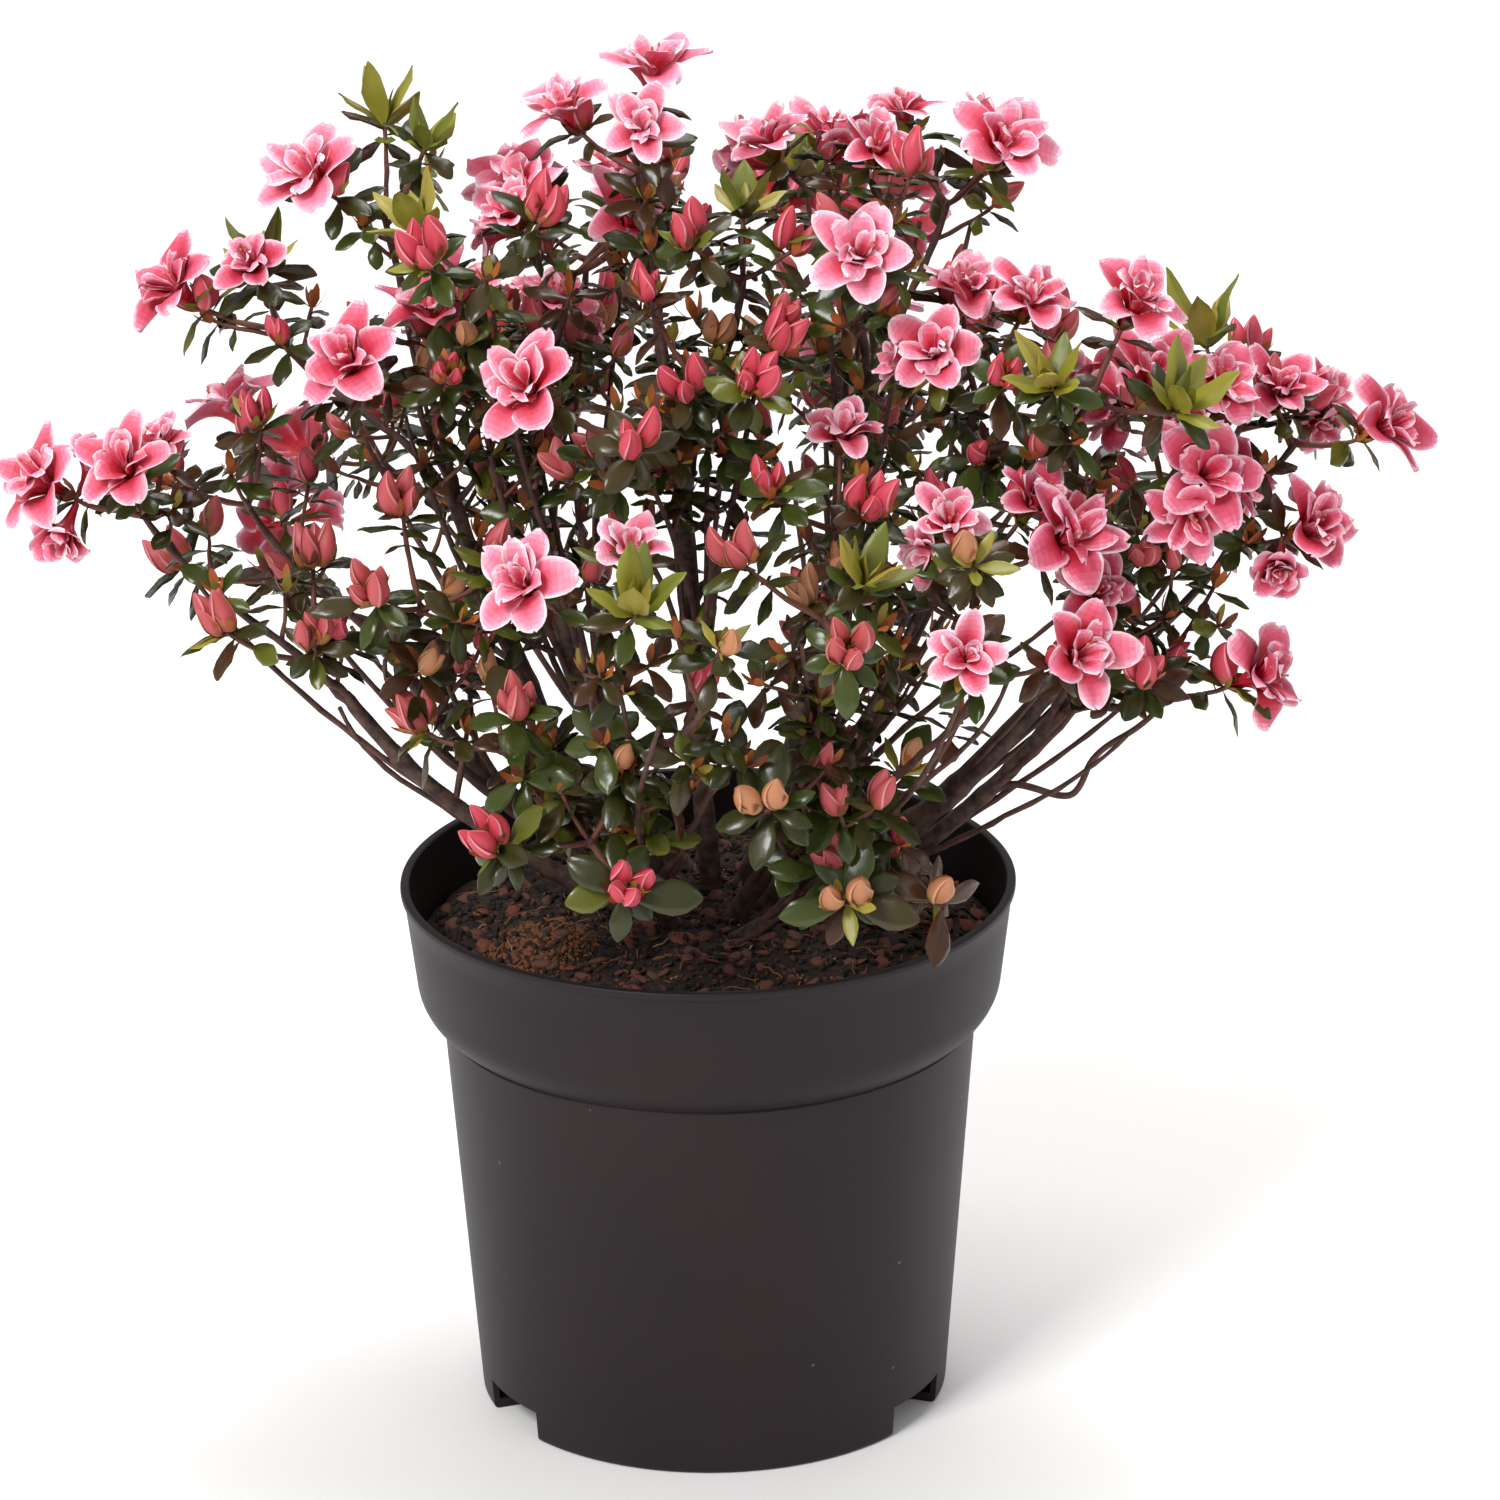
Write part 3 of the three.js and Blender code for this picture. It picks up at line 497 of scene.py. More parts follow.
# ---------------------------------------------------------------------------------- the boughs
# The old wood: fourteen boughs that leave the peat close together, lean out and turn up. Their bark is
# grey-brown, finely furrowed along the wood, with knuckles where twigs once grew.
RIGHT = np.array([1.0, 0.0, 0.0])
UP = np.array([0.0, 0.0, 1.0])
BOUGH = {"elbow_out": 0.6, "elbow_up": 0.34, "flare": 0.35, "flare_share": 0.1, "buried": 8}
BOUGHS = {
    "left_low": {"foot": (-24, -3), "tip": (-109, -15, 235), "thick": 3.1, "thin": 2.2},
    "left": {"foot": (-27, 11), "tip": (-95, 10, 240), "thick": 2.7, "thin": 2.0},
    "upper_left": {"foot": (-17, 21), "tip": (-77, 18, 290), "thick": 3.1, "thin": 2.2},
    "mid_left": {"foot": (-11, 5), "tip": (-54, 12, 298), "thick": 2.9, "thin": 2.2},
    "top": {"foot": (1, 15), "tip": (-6, 2, 298), "thick": 3.3, "thin": 2.6},
    "top_right": {"foot": (12, 20), "tip": (52, 14, 325), "thick": 3.2, "thin": 2.2},
    "right_upper": {"foot": (17, -1), "tip": (75, 2, 282), "thick": 3.0, "thin": 2.2},
    "right": {"foot": (34, 9), "tip": (128, 4, 262), "thick": 4.7, "thin": 2.7},
    "right_low": {"foot": (29, -9), "tip": (107, -27, 232), "thick": 3.3, "thin": 2.3},
    "centre": {"foot": (9, -9), "tip": (42, -40, 258), "thick": 3.0, "thin": 2.2},
    "low_left": {"foot": (-12, -16), "tip": (-25, -45, 215), "thick": 3.1, "thin": 2.3},
    "low_right": {"foot": (13, -25), "tip": (44, -43, 203), "thick": 2.5, "thin": 2.0},
    "back_left": {"foot": (-9, 34), "tip": (-48, 62, 250), "thick": 3.2, "thin": 2.3},
    "back_right": {"foot": (20, 35), "tip": (48, 64, 255), "thick": 3.2, "thin": 2.3},
}
BOUGH_SIDES = 22
BOUGH_RINGS = 80
BARK = [(52, 35, 30), (92, 69, 58)]
KNUCKLES = {"count": 7, "from": 0.15, "to": 0.97, "swell": 0.13, "half_long": 2.6}
FURROWS = [(1.9, 15, 40, 0.11), (5, 5, 9, 0.06)]
BARK_SHARE = 0.96
WANDER = {"every": 22, "aside": 1.1, "layers": (0.5, 3.5, 7.5)}
ROUND_END = np.array([0.96, 0.8, 0.45])


class Course:
    """The smooth way that a limb grows, walked by shares of its length."""

    def __init__(self, *controls):
        points = [np.array(c, float) for c in controls]
        t = np.linspace(0, 1, 97)[:, None]
        layer = points
        while len(layer) > 1:
            layer = [(1 - t) * a + t * b for a, b in zip(layer, layer[1:])]
        self.points = layer[0]
        steps = np.linalg.norm(np.diff(self.points, axis=0), axis=1)
        self.walked = np.concatenate([[0], np.cumsum(steps)])
        self.length = self.walked[-1]
        self.end_way = unit(points[-1] - points[-2])

    def at(self, shares):
        """The points at those shares of the length."""
        walked = np.atleast_1d(shares) * self.length
        return np.stack([np.interp(walked, self.walked, self.points[:, k]) for k in range(3)], axis=1)

    def way(self, share):
        """The direction of growth at that share of the length."""
        near = self.at([max(0, share - 0.02), min(1, share + 0.02)])
        return unit(near[1] - near[0])


def square_to(axis):
    """Two directions square to axis: one as near to the right as it can be, one to the back."""
    across = unit(RIGHT - axis * (RIGHT @ axis))
    return across, np.cross(axis, across)


def beside(axis, turn):
    """The direction square to axis that lies at turn round it."""
    across, away = square_to(axis)
    return math.cos(turn) * across + math.sin(turn) * away


def leaning(axis, lean_deg, turn_deg):
    """The direction that leans from axis, towards turn round it."""
    lean = math.radians(lean_deg)
    return math.cos(lean) * axis + math.sin(lean) * beside(axis, math.radians(turn_deg))


def bough_course(bough):
    """The bough's way from below the peat, past its elbow, to its tip."""
    start = np.array([*bough["foot"], SOIL["crest"]], float)
    end = np.array(bough["tip"], float)
    share = np.array([BOUGH["elbow_out"], BOUGH["elbow_out"], BOUGH["elbow_up"]])
    elbow = start + (end - start) * share
    return Course(start - BOUGH["buried"] * unit(elbow - start), elbow, end)


def bough_radius(bough, shares):
    """The bough's radius along it, with the flare at its foot."""
    flare = 1 + BOUGH["flare"] * np.exp(-shares / BOUGH["flare_share"])
    return (bough["thick"] + (bough["thin"] - bough["thick"]) * shares) * flare


def bough_rings(bough, course, order):
    """The bough with its bark: long furrows, knuckles, and a rounded end."""
    shares = np.linspace(0, 1, BOUGH_RINGS)
    radius = bough_radius(bough, shares) * BARK_SHARE
    for knuckle in rng.uniform(KNUCKLES["from"], KNUCKLES["to"], KNUCKLES["count"]):
        away = (shares - knuckle) * course.length / KNUCKLES["half_long"]
        radius = radius * (1 + KNUCKLES["swell"] * np.exp(-(away**2)))
    turns = np.linspace(0, 2 * math.pi, BOUGH_SIDES, endpoint=False)
    relief = np.array([
        [sum(deep * noise.noise((fine * math.cos(a), fine * math.sin(a),
                                 s * course.length / long + step * order))
             for fine, long, step, deep in FURROWS) for a in turns] for s in shares
    ])
    radii = radius[:, None] * (1 + relief)
    radii[-3:] *= ROUND_END[:, None]
    wander = np.array([
        [noise.noise((s * course.length / WANDER["every"], order, k)) for k in WANDER["layers"]]
        for s in shares
    ]) * WANDER["aside"] * np.sin(np.pi * shares)[:, None]
    return swept(course.at(shares) + wander, radii, BOUGH_SIDES)


courses = {name: bough_course(bough) for name, bough in BOUGHS.items()}
wood = Heap()
for order, (name, bough) in enumerate(BOUGHS.items()):
    wood.add_solid(bough_rings(bough, courses[name], order))
bark_finish = roughened(mottled(finish("furrowed_bark", BARK[0], 0.82), 260, BARK), 520, 0.5)
boughs = wood.as_piece("boughs", [bark_finish])
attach(boughs, "root")
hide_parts(*["bough_" + name for name in BOUGHS])

# ---------------------------------------------------------------------------------- how it grows
# Each spray has a stem from its bough's tip to a fork, where its twigs fan out. A twig ends in O, an
# open truss, B, a truss of buds, L, a shoot of young leaves, or D, a rosette of old leaves. Twigs of a
# spray keep to its space, clear of the wood.
# A row of SPRAYS gives a spray's name, bough, middle, size, its twigs' ends and the first twig's turn.
SPRAYS = [
    ("far_left", "left_low", (-177, -5, 306), 34, "OOO", 180),
    ("left_edge", "left_low", (-123, -25, 265), 34, "BBB", 190),
    ("left", "left", (-148, 35, 298), 38, "OBO", 180),
    ("left_buds", "left", (-83, -50, 287), 36, "BBB", 350),
    ("left_low_back", "left", (-138, 80, 255), 36, "BOB", 170),
    ("left_shoulder", "upper_left", (-137, 45, 349), 34, "OOL", 180),
    ("left_inner", "upper_left", (-88, -5, 340), 32, "OBO", 200),
    ("top_left", "upper_left", (-98, 35, 389), 34, "OLL", 200),
    ("mid_left_buds", "mid_left", (-68, -20, 382), 33, "BBL", 240),
    ("mid_left_open", "mid_left", (-36, 35, 371), 36, "OOO", 200),
    ("mid_left_back", "mid_left", (-61, 60, 328), 36, "OOO", 0),
    ("top", "top", (-18, 5, 413), 38, "OOO", 180),
    ("top_buds", "top", (15, -25, 385), 34, "BBL", 220),
    ("centre_buds", "top", (3, -45, 354), 36, "BBBB", 30),
    ("front_high", "top", (-29, -65, 345), 34, "OBO", 170),
    ("top_right", "top_right", (38, 25, 395), 36, "OOO", 180),
    ("top_far_right", "top_right", (80, 50, 388), 38, "OOO", 60),
    ("top_right_front", "top_right", (50, -36, 388), 32, "OB", 230),
    ("right_inner", "right_upper", (83, -40, 352), 38, "OBOO", 215),
    ("right_green", "right_upper", (120, -60, 355), 36, "LLO", 220),
    ("right_low_back", "right_upper", (138, 72, 268), 38, "OBB", 10),
    ("right_open", "right", (140, -37, 321), 38, "OOO", 20),
    ("right_high", "right", (172, 34, 318), 34, "BLO", 100),
    ("far_right", "right", (187, 4, 319), 30, "OO", 0),
    ("right_mid", "right_low", (126, -41, 281), 32, "OD", 260),
    ("right_edge_low", "right_low", (145, -50, 254), 34, "BO", 190),
    ("right_outer", "right_low", (166, -20, 296), 32, "OO", 290),
    ("centre_high", "centre", (39, -65, 319), 34, "BBO", 180),
    ("centre_right", "centre", (87, -79, 307), 38, "OBOO", 180),
    ("centre_mid", "centre", (34, -105, 301), 36, "BBL", 170),
    ("front_mid", "low_left", (-32, -108, 303), 34, "OLO", 180),
    ("low_left", "low_left", (-70, -55, 243), 30, "BB", 150),
    ("low_front_left", "low_left", (-40, -82, 216), 34, "BBD", 190),
    ("front_centre", "low_left", (2, -118, 278), 29, "B", 0),
    ("low_front_right", "low_right", (56, -66, 204), 34, "BBB", 200),
    ("low_centre", "low_right", (24, -85, 238), 30, "BD", 250),
    ("low_right", "low_right", (86, -103, 284), 33, "OO", 200),
    ("back_left", "back_left", (-112, 112, 285), 40, "OBO", 150),
    ("back_mid_left", "back_left", (-52, 150, 292), 40, "OOB", 100),
    ("back_high_left", "back_left", (-34, 98, 358), 40, "BOO", 40),
    ("back_mid_right", "back_right", (42, 152, 288), 40, "OBO", 80),
    ("back_right", "back_right", (108, 118, 296), 40, "OOB", 40),
    ("back_high_right", "back_right", (38, 106, 356), 40, "OLO", 135),
]
CLEAR = 0.3
SPACE = 1.3
MARGIN = 0.18
BOUGH_STEPS = 60
STEM_STEPS = 26
STEM = {"radius": 1.4, "fork_radius": 1.1, "up_share": 0.35, "fork_below": 0.45, "bend": 0.35}
TWIG = {"radius": 1.0, "tip_radius": 0.7, "spread_deg": 52, "turn_deg": 20, "elbow_lean": 1.35,
        "sunk": 1.5}
REACH = {"O": 0.55, "B": 0.72, "L": 0.72, "D": 0.9}
TRIES = [(drawn_in, smaller, aside) for drawn_in in (1.25, 1, 0.8, 0.6)
         for smaller in (1, 0.85, 0.72) for aside in (0, 25, -25)]
BLOSSOM = {"radius": 19.5, "depth": 15, "sunk": 3}
UPRIGHT = 0.9
RIM_POINTS = 20
RIM_REACH = (1, 0.92, 0.44, 0.92)
BUD = {"length": 19, "width": 11.5, "lean_deg": 17, "sunk": 2.5, "waists": ((0.27, 0.95), (0.66, 0.78))}
YOUNG = {"length": 27, "width": 9, "lean_deg": 30, "sunk": 2}
LEAF_WIDEST = 0.58
HEART = np.array([0.0, 0.0, 200.0])
FACING = {"twig": 1.1, "outward": 0.6, "light": 0.8, "light_rise": 0.35, "back_from": 70}
WORD = 0xFFFFFFFF
CENTRES = np.array([spray[2] for spray in SPRAYS], float)
SIZES = np.array([spray[3] for spray in SPRAYS], float)
spray_nodes = ["spray_" + spray[0] for spray in SPRAYS]


def seeded(seed):
    """Repeatable numbers from 0 to 1."""
    state = seed

    def draw():
        nonlocal state
        state = (state + 0x6D2B79F5) & WORD
        t = ((state ^ (state >> 15)) * (state | 1)) & WORD
        t = ((t + (((t ^ (t >> 7)) * (t | 61)) & WORD)) & WORD) ^ t
        return (t ^ (t >> 14)) / (WORD + 1)

    return draw


def stem_starts(bough_name):
    """Where a bough's stems start: in a ring on its tip, each on the side it goes to."""
    course = courses[bough_name]
    tip, along = course.points[-1], course.end_way
    across, away = square_to(along)
    bearings = []
    for k, spray in enumerate(SPRAYS):
        if spray[1] == bough_name:
            to = CENTRES[k] - tip
            bearings.append((math.atan2(to @ away, to @ across), k))
    bearings.sort(key=lambda pair: pair[0])
    pitch = 2 * math.pi / len(bearings)
    lags = [bearing - i * pitch for i, (bearing, _) in enumerate(bearings)]
    first = math.atan2(sum(map(math.sin, lags)), sum(map(math.cos, lags)))
    ring = (STEM["radius"] + CLEAR) / math.sin(math.pi / len(bearings)) if len(bearings) > 1 else 0
    return {
        k: tip + ring * (math.cos(first + i * pitch) * across + math.sin(first + i * pitch) * away)
        for i, (_, k) in enumerate(bearings)
    }


def stem_plan(k, at, along):
    """The stem's course, the fork at its end and the way the spray grows."""
    centre, size = CENTRES[k], SIZES[k]
    growth = unit(centre - at)
    growth = unit(growth + (UP - growth) * STEM["up_share"])
    fork = centre - STEM["fork_below"] * size * growth
    leave = unit(along + unit(fork - at))
    lean = math.sqrt(max(0, 1 - (leave @ along) ** 2))
    start = at + along * (CLEAR * 1.2 + STEM["radius"] * lean)
    pull = np.linalg.norm(fork - start) * STEM["bend"]
    course = Course(start, start + leave * pull, fork - growth * pull, fork)
    return {"course": course, "fork": fork, "growth": growth}


starts = {}
for bough_name in BOUGHS:
    along = courses[bough_name].end_way
    starts.update({k: (at, along) for k, at in stem_starts(bough_name).items()})
plans = [stem_plan(k, *starts[k]) for k in range(len(SPRAYS))]

boughs_walk, stems_walk = np.linspace(0, 1, BOUGH_STEPS), np.linspace(0, 1, STEM_STEPS)
stem_radii = np.linspace(STEM["radius"], STEM["fork_radius"], STEM_STEPS)
limbs = [(courses[name].at(boughs_walk), bough_radius(bough, boughs_walk), -1)
         for name, bough in BOUGHS.items()]
limbs += [(plan["course"].at(stems_walk), stem_radii, k) for k, plan in enumerate(plans)]
wood_points = np.concatenate([points for points, _, _ in limbs])
wood_radii = np.concatenate([radii for _, radii, _ in limbs])
wood_owner = np.concatenate([np.full(len(radii), owner) for _, radii, owner in limbs])


def in_space(k, points, margin=MARGIN, reach=SPACE):
    """True if all points lie within the spray's reach and nearer to it than to any other spray."""
    centre, size = CENTRES[k], SIZES[k]
    squares = ((points - centre) ** 2).sum(1)
    if squares.max() > (reach * size) ** 2:
        return False
    own = squares - size**2
    others = np.arange(len(SPRAYS)) != k
    middles, sizes = CENTRES[others], SIZES[others]
    theirs = ((points[:, None] - middles[None]) ** 2).sum(2) - sizes**2
    apart = 2 * np.linalg.norm(middles - centre, axis=1)
    return bool(((theirs - own[:, None]) / apart > margin).all())


def clear_of_wood(k, points):
    """True if no point lies in a bough or in another spray's stem."""
    others = wood_owner != k
    gaps = np.linalg.norm(points[:, None] - wood_points[None, others], axis=2) - wood_radii[others]
    return gaps.min() > CLEAR


def facing_of(tip, along):
    """Blossom looks along its twig, out of the crown and towards the light."""
    outward = unit(tip - HEART)
    front = -1 if tip[1] < FACING["back_from"] else 1
    light = unit(np.array([0, front, FACING["light_rise"]]))
    return unit(FACING["twig"] * along + FACING["outward"] * outward + FACING["light"] * light)


def rim_of(root, facing, scale):
    """Points round the rim of an open blossom, and half way out."""
    points = [root]
    for point in range(RIM_POINTS):
        reach = RIM_REACH[point % 4]
        out = beside(facing, 2 * math.pi * point / RIM_POINTS)
        depth = BLOSSOM["depth"] * scale * (1 - 0.12 * (1 - reach))
        rim = root + facing * depth + out * BLOSSOM["radius"] * scale * reach
        points += [rim, (rim + root + facing * depth * 0.45) / 2]
    return np.array(points)


def spindle_of(root, way, scale):
    """Points on the skin of a bud."""
    points = [root, root + way * BUD["length"] * scale]
    for up, out in BUD["waists"]:
        for turn in np.linspace(0, 2 * math.pi, 5, endpoint=False):
            points.append(root + way * BUD["length"] * scale * up
                          + beside(way, turn) * BUD["width"] / 2 * scale * out)
    return np.array(points)


def blade_of(root, way, face, length, width):
    """Points at the ends and the widest place of a leaf."""
    across = unit(np.cross(face, way))
    middle = root + way * length * LEAF_WIDEST
    return np.array([root, root + way * length, middle + across * width / 2,
                     middle - across * width / 2])


def ending_points(shoot):
    """Points on what the twig ends in."""
    tip, along, facing, scale = shoot["tip"], shoot["along"], shoot["facing"], shoot["scale"]
    rising = shoot["rising"]
    if shoot["kind"] == "O":
        return rim_of(tip - facing * BLOSSOM["sunk"], facing, scale)
    if shoot["kind"] == "B":
        root = tip - along * BUD["sunk"]
        leans = [leaning(rising, BUD["lean_deg"], shoot["turn"] + 180 * i) for i in range(2)]
        return np.concatenate([spindle_of(root, lean, scale) for lean in leans])
    count = 3 if shoot["kind"] == "L" else 1
    root = tip - along * YOUNG["sunk"]
    ways = [leaning(rising, YOUNG["lean_deg"], shoot["turn"] + 360 / count * i) for i in range(count)]
    length, width = YOUNG["length"] * shoot["smaller"], YOUNG["width"] * shoot["smaller"]
    return np.concatenate([blade_of(root, way, rising, length, width) for way in ways])


def shoots_of(k):
    """The twigs that the spray's fork carries, each at the first try that fits."""
    draw = seeded(100 + k)
    _, _, _, size, tips, first_turn = SPRAYS[k]
    fork, growth = plans[k]["fork"], plans[k]["growth"]
    grown = []
    for i, kind in enumerate(tips):
        lean = TWIG["spread_deg"] * (0.85 + 0.3 * draw()) if len(tips) > 1 else 0
        turn = first_turn + 360 / len(tips) * i + TWIG["turn_deg"] * (draw() - 0.5)
        reach = size * REACH[kind] * (0.9 + 0.2 * draw())
        scale = 0.92 + 0.12 * draw()
        spin = 360 * draw()
        root = fork - growth * TWIG["sunk"]
        for drawn_in, smaller, aside in TRIES:
            tip = fork + leaning(growth, lean, turn + aside) * reach * drawn_in
            elbow_way = leaning(growth, lean * TWIG["elbow_lean"], turn + aside)
            course = Course(root, fork + elbow_way * reach * drawn_in / 2, tip)
            along = course.end_way
            shoot = {"spray": k, "kind": kind, "course": course, "tip": tip, "along": along,
                     "facing": facing_of(tip, along), "rising": unit(along + UPRIGHT * UP),
                     "smaller": smaller, "turn": spin, "scale": scale * smaller}
            points = np.concatenate([course.at([0, 0.5, 1]), ending_points(shoot)])
            if in_space(k, points) and clear_of_wood(k, points):
                grown.append(shoot)
                break
    return grown


shoots = [shoot for k in range(len(SPRAYS)) for shoot in shoots_of(k)]

# ---------------------------------------------------------------------------------- stems and twigs
# Younger wood, red-brown and smooth: the stems of the sprays, the twigs that end in leaves or blossom,
# side twigs along the stems and boughs, long thin whips that rise from the boughs into the crown, and one
# bare shoot that loops out at the lower right.
GOLDEN_DEG = 137.5
SIDE_TWIGS = {"lean_deg": 58, "upturn": 0.45, "tip_room": 8}
STEM_TWIGS = {"first": 0.3, "last": 0.95, "apart": 11, "least": 3, "length": (11, 25),
              "radii": (0.85, 0.6)}
BOUGH_TWIGS = {"first": 0.6, "last": 0.97, "count": 5, "length": (14, 28), "radii": (1.25, 0.7)}
WHIP_TWIGS = {"at": (0.62, 0.78, 0.9), "length": (10, 20), "radii": (0.8, 0.6)}
WHIP = {"from": (0.06, 0.45), "radius": 1.35, "tip_radius": 0.7, "two_within": 95,
        "short": (0.1, 0.7), "aside": (10, 24)}
WOBBLE = {"swell": 0.12, "every": 2.1, "drift": 0.22}
LEAFY = {"reach": 1.12, "under": 0.3}
SHADE = {"out": 85, "front": -60, "back": 95, "low": 225, "high": 350, "share": 1.0}
LOOP = [(85, -22, 203), (92, -24, 208), (99, -26, 207), (106, -28, 205), (111, -29, 205),
        (114, -30, 210), (116, -31, 217), (121, -33, 223), (130, -38, 230), (138, -43, 240),
        (143, -47, 249)]
LOOP_STEPS = 40
LOOP_SMOOTHINGS = 3
LOOP_RADII = (1.2, 0.9)
FORK = {"depth": 8, "radius": 1.6, "end_radius": 1.45, "sunk": 0.06}
STEM_WOOD = [(62, 40, 36), (92, 58, 48)]
TWIG_WOOD = (104, 60, 46)
GREEN_WOOD = (118, 84, 52)
DARK, RED, GREEN = 0, 1, 2
rng = np.random.default_rng(23)
twigs = Heap()
rosettes = []


def grow_twig(course, thick, thin, sides, steps, zone):
    """A tapering twig along the course, with small swellings and a slight drift."""
    shares = np.linspace(0, 1, steps + 1)
    radii = thick + (thin - thick) * shares
    beat = shares * course.length / WOBBLE["every"] + rng.uniform(0, 6)
    radii = radii * (1 + WOBBLE["swell"] * np.sin(beat))
    points = course.at(shares)
    drift = np.cumsum(rng.normal(0, WOBBLE["drift"], (steps + 1, 3)), axis=0)
    points = points + (drift - drift[0]) * np.sin(np.pi * shares)[:, None]
    twigs.add_solid(swept(points, radii, sides), zone)


def near_a_spray(point):
    """True within a spray's reach, but not deep under it, where the stems are bare."""
    gaps = np.linalg.norm(CENTRES - point, axis=1) / SIZES
    return bool(((gaps < LEAFY["reach"]) & (point[2] > CENTRES[:, 2] - LEAFY["under"] * SIZES)).any())


def in_crown(point):
    """True within the sprays' reach, or in the crown's own shade between them."""
    shade = (abs(point[0]) < SHADE["out"] and SHADE["front"] < point[1] < SHADE["back"]
             and SHADE["low"] < point[2] < SHADE["high"])
    return near_a_spray(point) or (shade and rng.random() < SHADE["share"])


def grow_side_twig(parent, share, turn, length, *girth):
    """A short twig that leaves its parent, turns up and ends in a rosette, where the crown has room."""
    root = parent.at(share)[0]
    out = leaning(parent.way(share), SIDE_TWIGS["lean_deg"], turn)
    elbow = root + out * length * 0.5
    course = Course(root, elbow, elbow + unit(out + SIDE_TWIGS["upturn"] * UP) * length * 0.55)
    if in_crown(course.points[-1] + course.end_way * SIDE_TWIGS["tip_room"]):
        grow_twig(course, *girth)
        rosettes.append({"course": course, "kind": "side", "turn": rng.uniform(0, 360)})


for k, plan in enumerate(plans):
    grow_twig(plan["course"], STEM["radius"], STEM["fork_radius"], 7, 18, DARK)
    parent = courses[SPRAYS[k][1]]
    heart = parent.at(1 - FORK["depth"] / parent.length)[0]
    below = plan["course"].at(0)[0] - parent.end_way * FORK["depth"] / 4
    fork = Course(heart, below, plan["course"].at(FORK["sunk"])[0])
    grow_twig(fork, FORK["radius"], FORK["end_radius"], 7, 4, DARK)
for shoot in shoots:
    grow_twig(shoot["course"], TWIG["radius"], TWIG["tip_radius"], 6, 8, RED)
    rosettes.append({"course": shoot["course"], "kind": shoot["kind"], "turn": shoot["turn"]})

for k, plan in enumerate(plans):
    count = max(STEM_TWIGS["least"], int(plan["course"].length / STEM_TWIGS["apart"]))
    for i, share in enumerate(np.linspace(STEM_TWIGS["first"], STEM_TWIGS["last"], count)):
        length = rng.uniform(*STEM_TWIGS["length"])
        turn = GOLDEN_DEG * i + 40 * k
        grow_side_twig(plan["course"], share, turn, length, *STEM_TWIGS["radii"], 5, 5, RED)
for order, course in enumerate(courses.values()):
    shares = np.linspace(BOUGH_TWIGS["first"], BOUGH_TWIGS["last"], BOUGH_TWIGS["count"])
    for i, share in enumerate(shares):
        length = rng.uniform(*BOUGH_TWIGS["length"])
        turn = GOLDEN_DEG * i + 70 * order
        grow_side_twig(course, share, turn, length, *BOUGH_TWIGS["radii"], 6, 8, DARK)

for k, plan in enumerate(plans):
    parent = courses[SPRAYS[k][1]]
    for side in (-1, 1) if abs(CENTRES[k, 0]) < WHIP["two_within"] else (1,):
        share = rng.uniform(*WHIP["from"])
        root = parent.at(share)[0]
        aside = np.cross(plan["growth"], UP) + rng.normal(0, 0.15, 3)
        end = (plan["fork"] - plan["growth"] * SIZES[k] * rng.uniform(*WHIP["short"])
               + aside * side * rng.uniform(*WHIP["aside"]))
        rise = parent.way(share) + 0.5 * unit(end - root) + rng.normal(0, 0.12, 3)
        span = np.linalg.norm(end - root)
        whip = Course(root, root + unit(rise) * span * 0.4, end - plan["growth"] * span * 0.3, end)
        grow_twig(whip, WHIP["radius"], WHIP["tip_radius"], 6, 22, DARK)
        if in_crown(end):
            rosettes.append({"course": whip, "kind": "side", "turn": rng.uniform(0, 360)})
        for i, share in enumerate(WHIP_TWIGS["at"]):
            turn, length = GOLDEN_DEG * i + rng.uniform(0, 90), rng.uniform(*WHIP_TWIGS["length"])
            grow_side_twig(whip, share, turn, length, *WHIP_TWIGS["radii"], 5, 5, RED)

t = np.linspace(0, len(LOOP) - 1, LOOP_STEPS)
loop = np.stack([np.interp(t, range(len(LOOP)), line) for line in np.array(LOOP, float).T], axis=1)
for _ in range(LOOP_SMOOTHINGS):
    loop[1:-1] = (loop[:-2] + 2 * loop[1:-1] + loop[2:]) / 4
twigs.add_solid(swept(loop, np.linspace(*LOOP_RADII, LOOP_STEPS), 7), DARK)

# ---------------------------------------------------------------------------------- old leaves
# Last year's leaves: small, leathery and glossy, widest past the middle, with the midrib sunk between
# two rounded halves. They stand in whorls, dark green, many of them bronzed by the cold.
LEAF = {"length": (12.5, 19.5), "slender": (0.4, 0.52), "lean_deg": 72, "lean_by_deg": 34,
        "shade_below": 262, "shade_share": 0.28, "shade_fade": 45, "side_share": 0.85, "same_tint": 0.7}
WHORL = {"first": 1.2, "pitch": 1.3, "upturn": 0.35, "turned": 60, "lean_spread": 9, "turn_spread": 8,
         "shorter": 0.04}
LEAVES = {"O": 6, "B": 8, "L": 7, "D": 9, "side": 5}
LEAF_TINTS = {
    "dark_green_leaf": ((50, 52, 21), 0.3),
    "deep_green_leaf": ((60, 70, 24), 0.26),
    "bronze_leaf": ((72, 46, 27), 0.16),
    "brown_green_leaf": ((62, 52, 25), 0.2),
    "olive_leaf": ((92, 96, 30), 0.08),
}
rng = np.random.default_rng(31)
old_leaves = {name: Heap() for name in LEAF_TINTS}
LEAF_ROWS = np.array([0, 0.08, 0.22, 0.4, 0.6, 0.78, 0.92, 1.0])
LEAF_COLUMNS = np.array([-1, -0.55, 0, 0.55, 1])


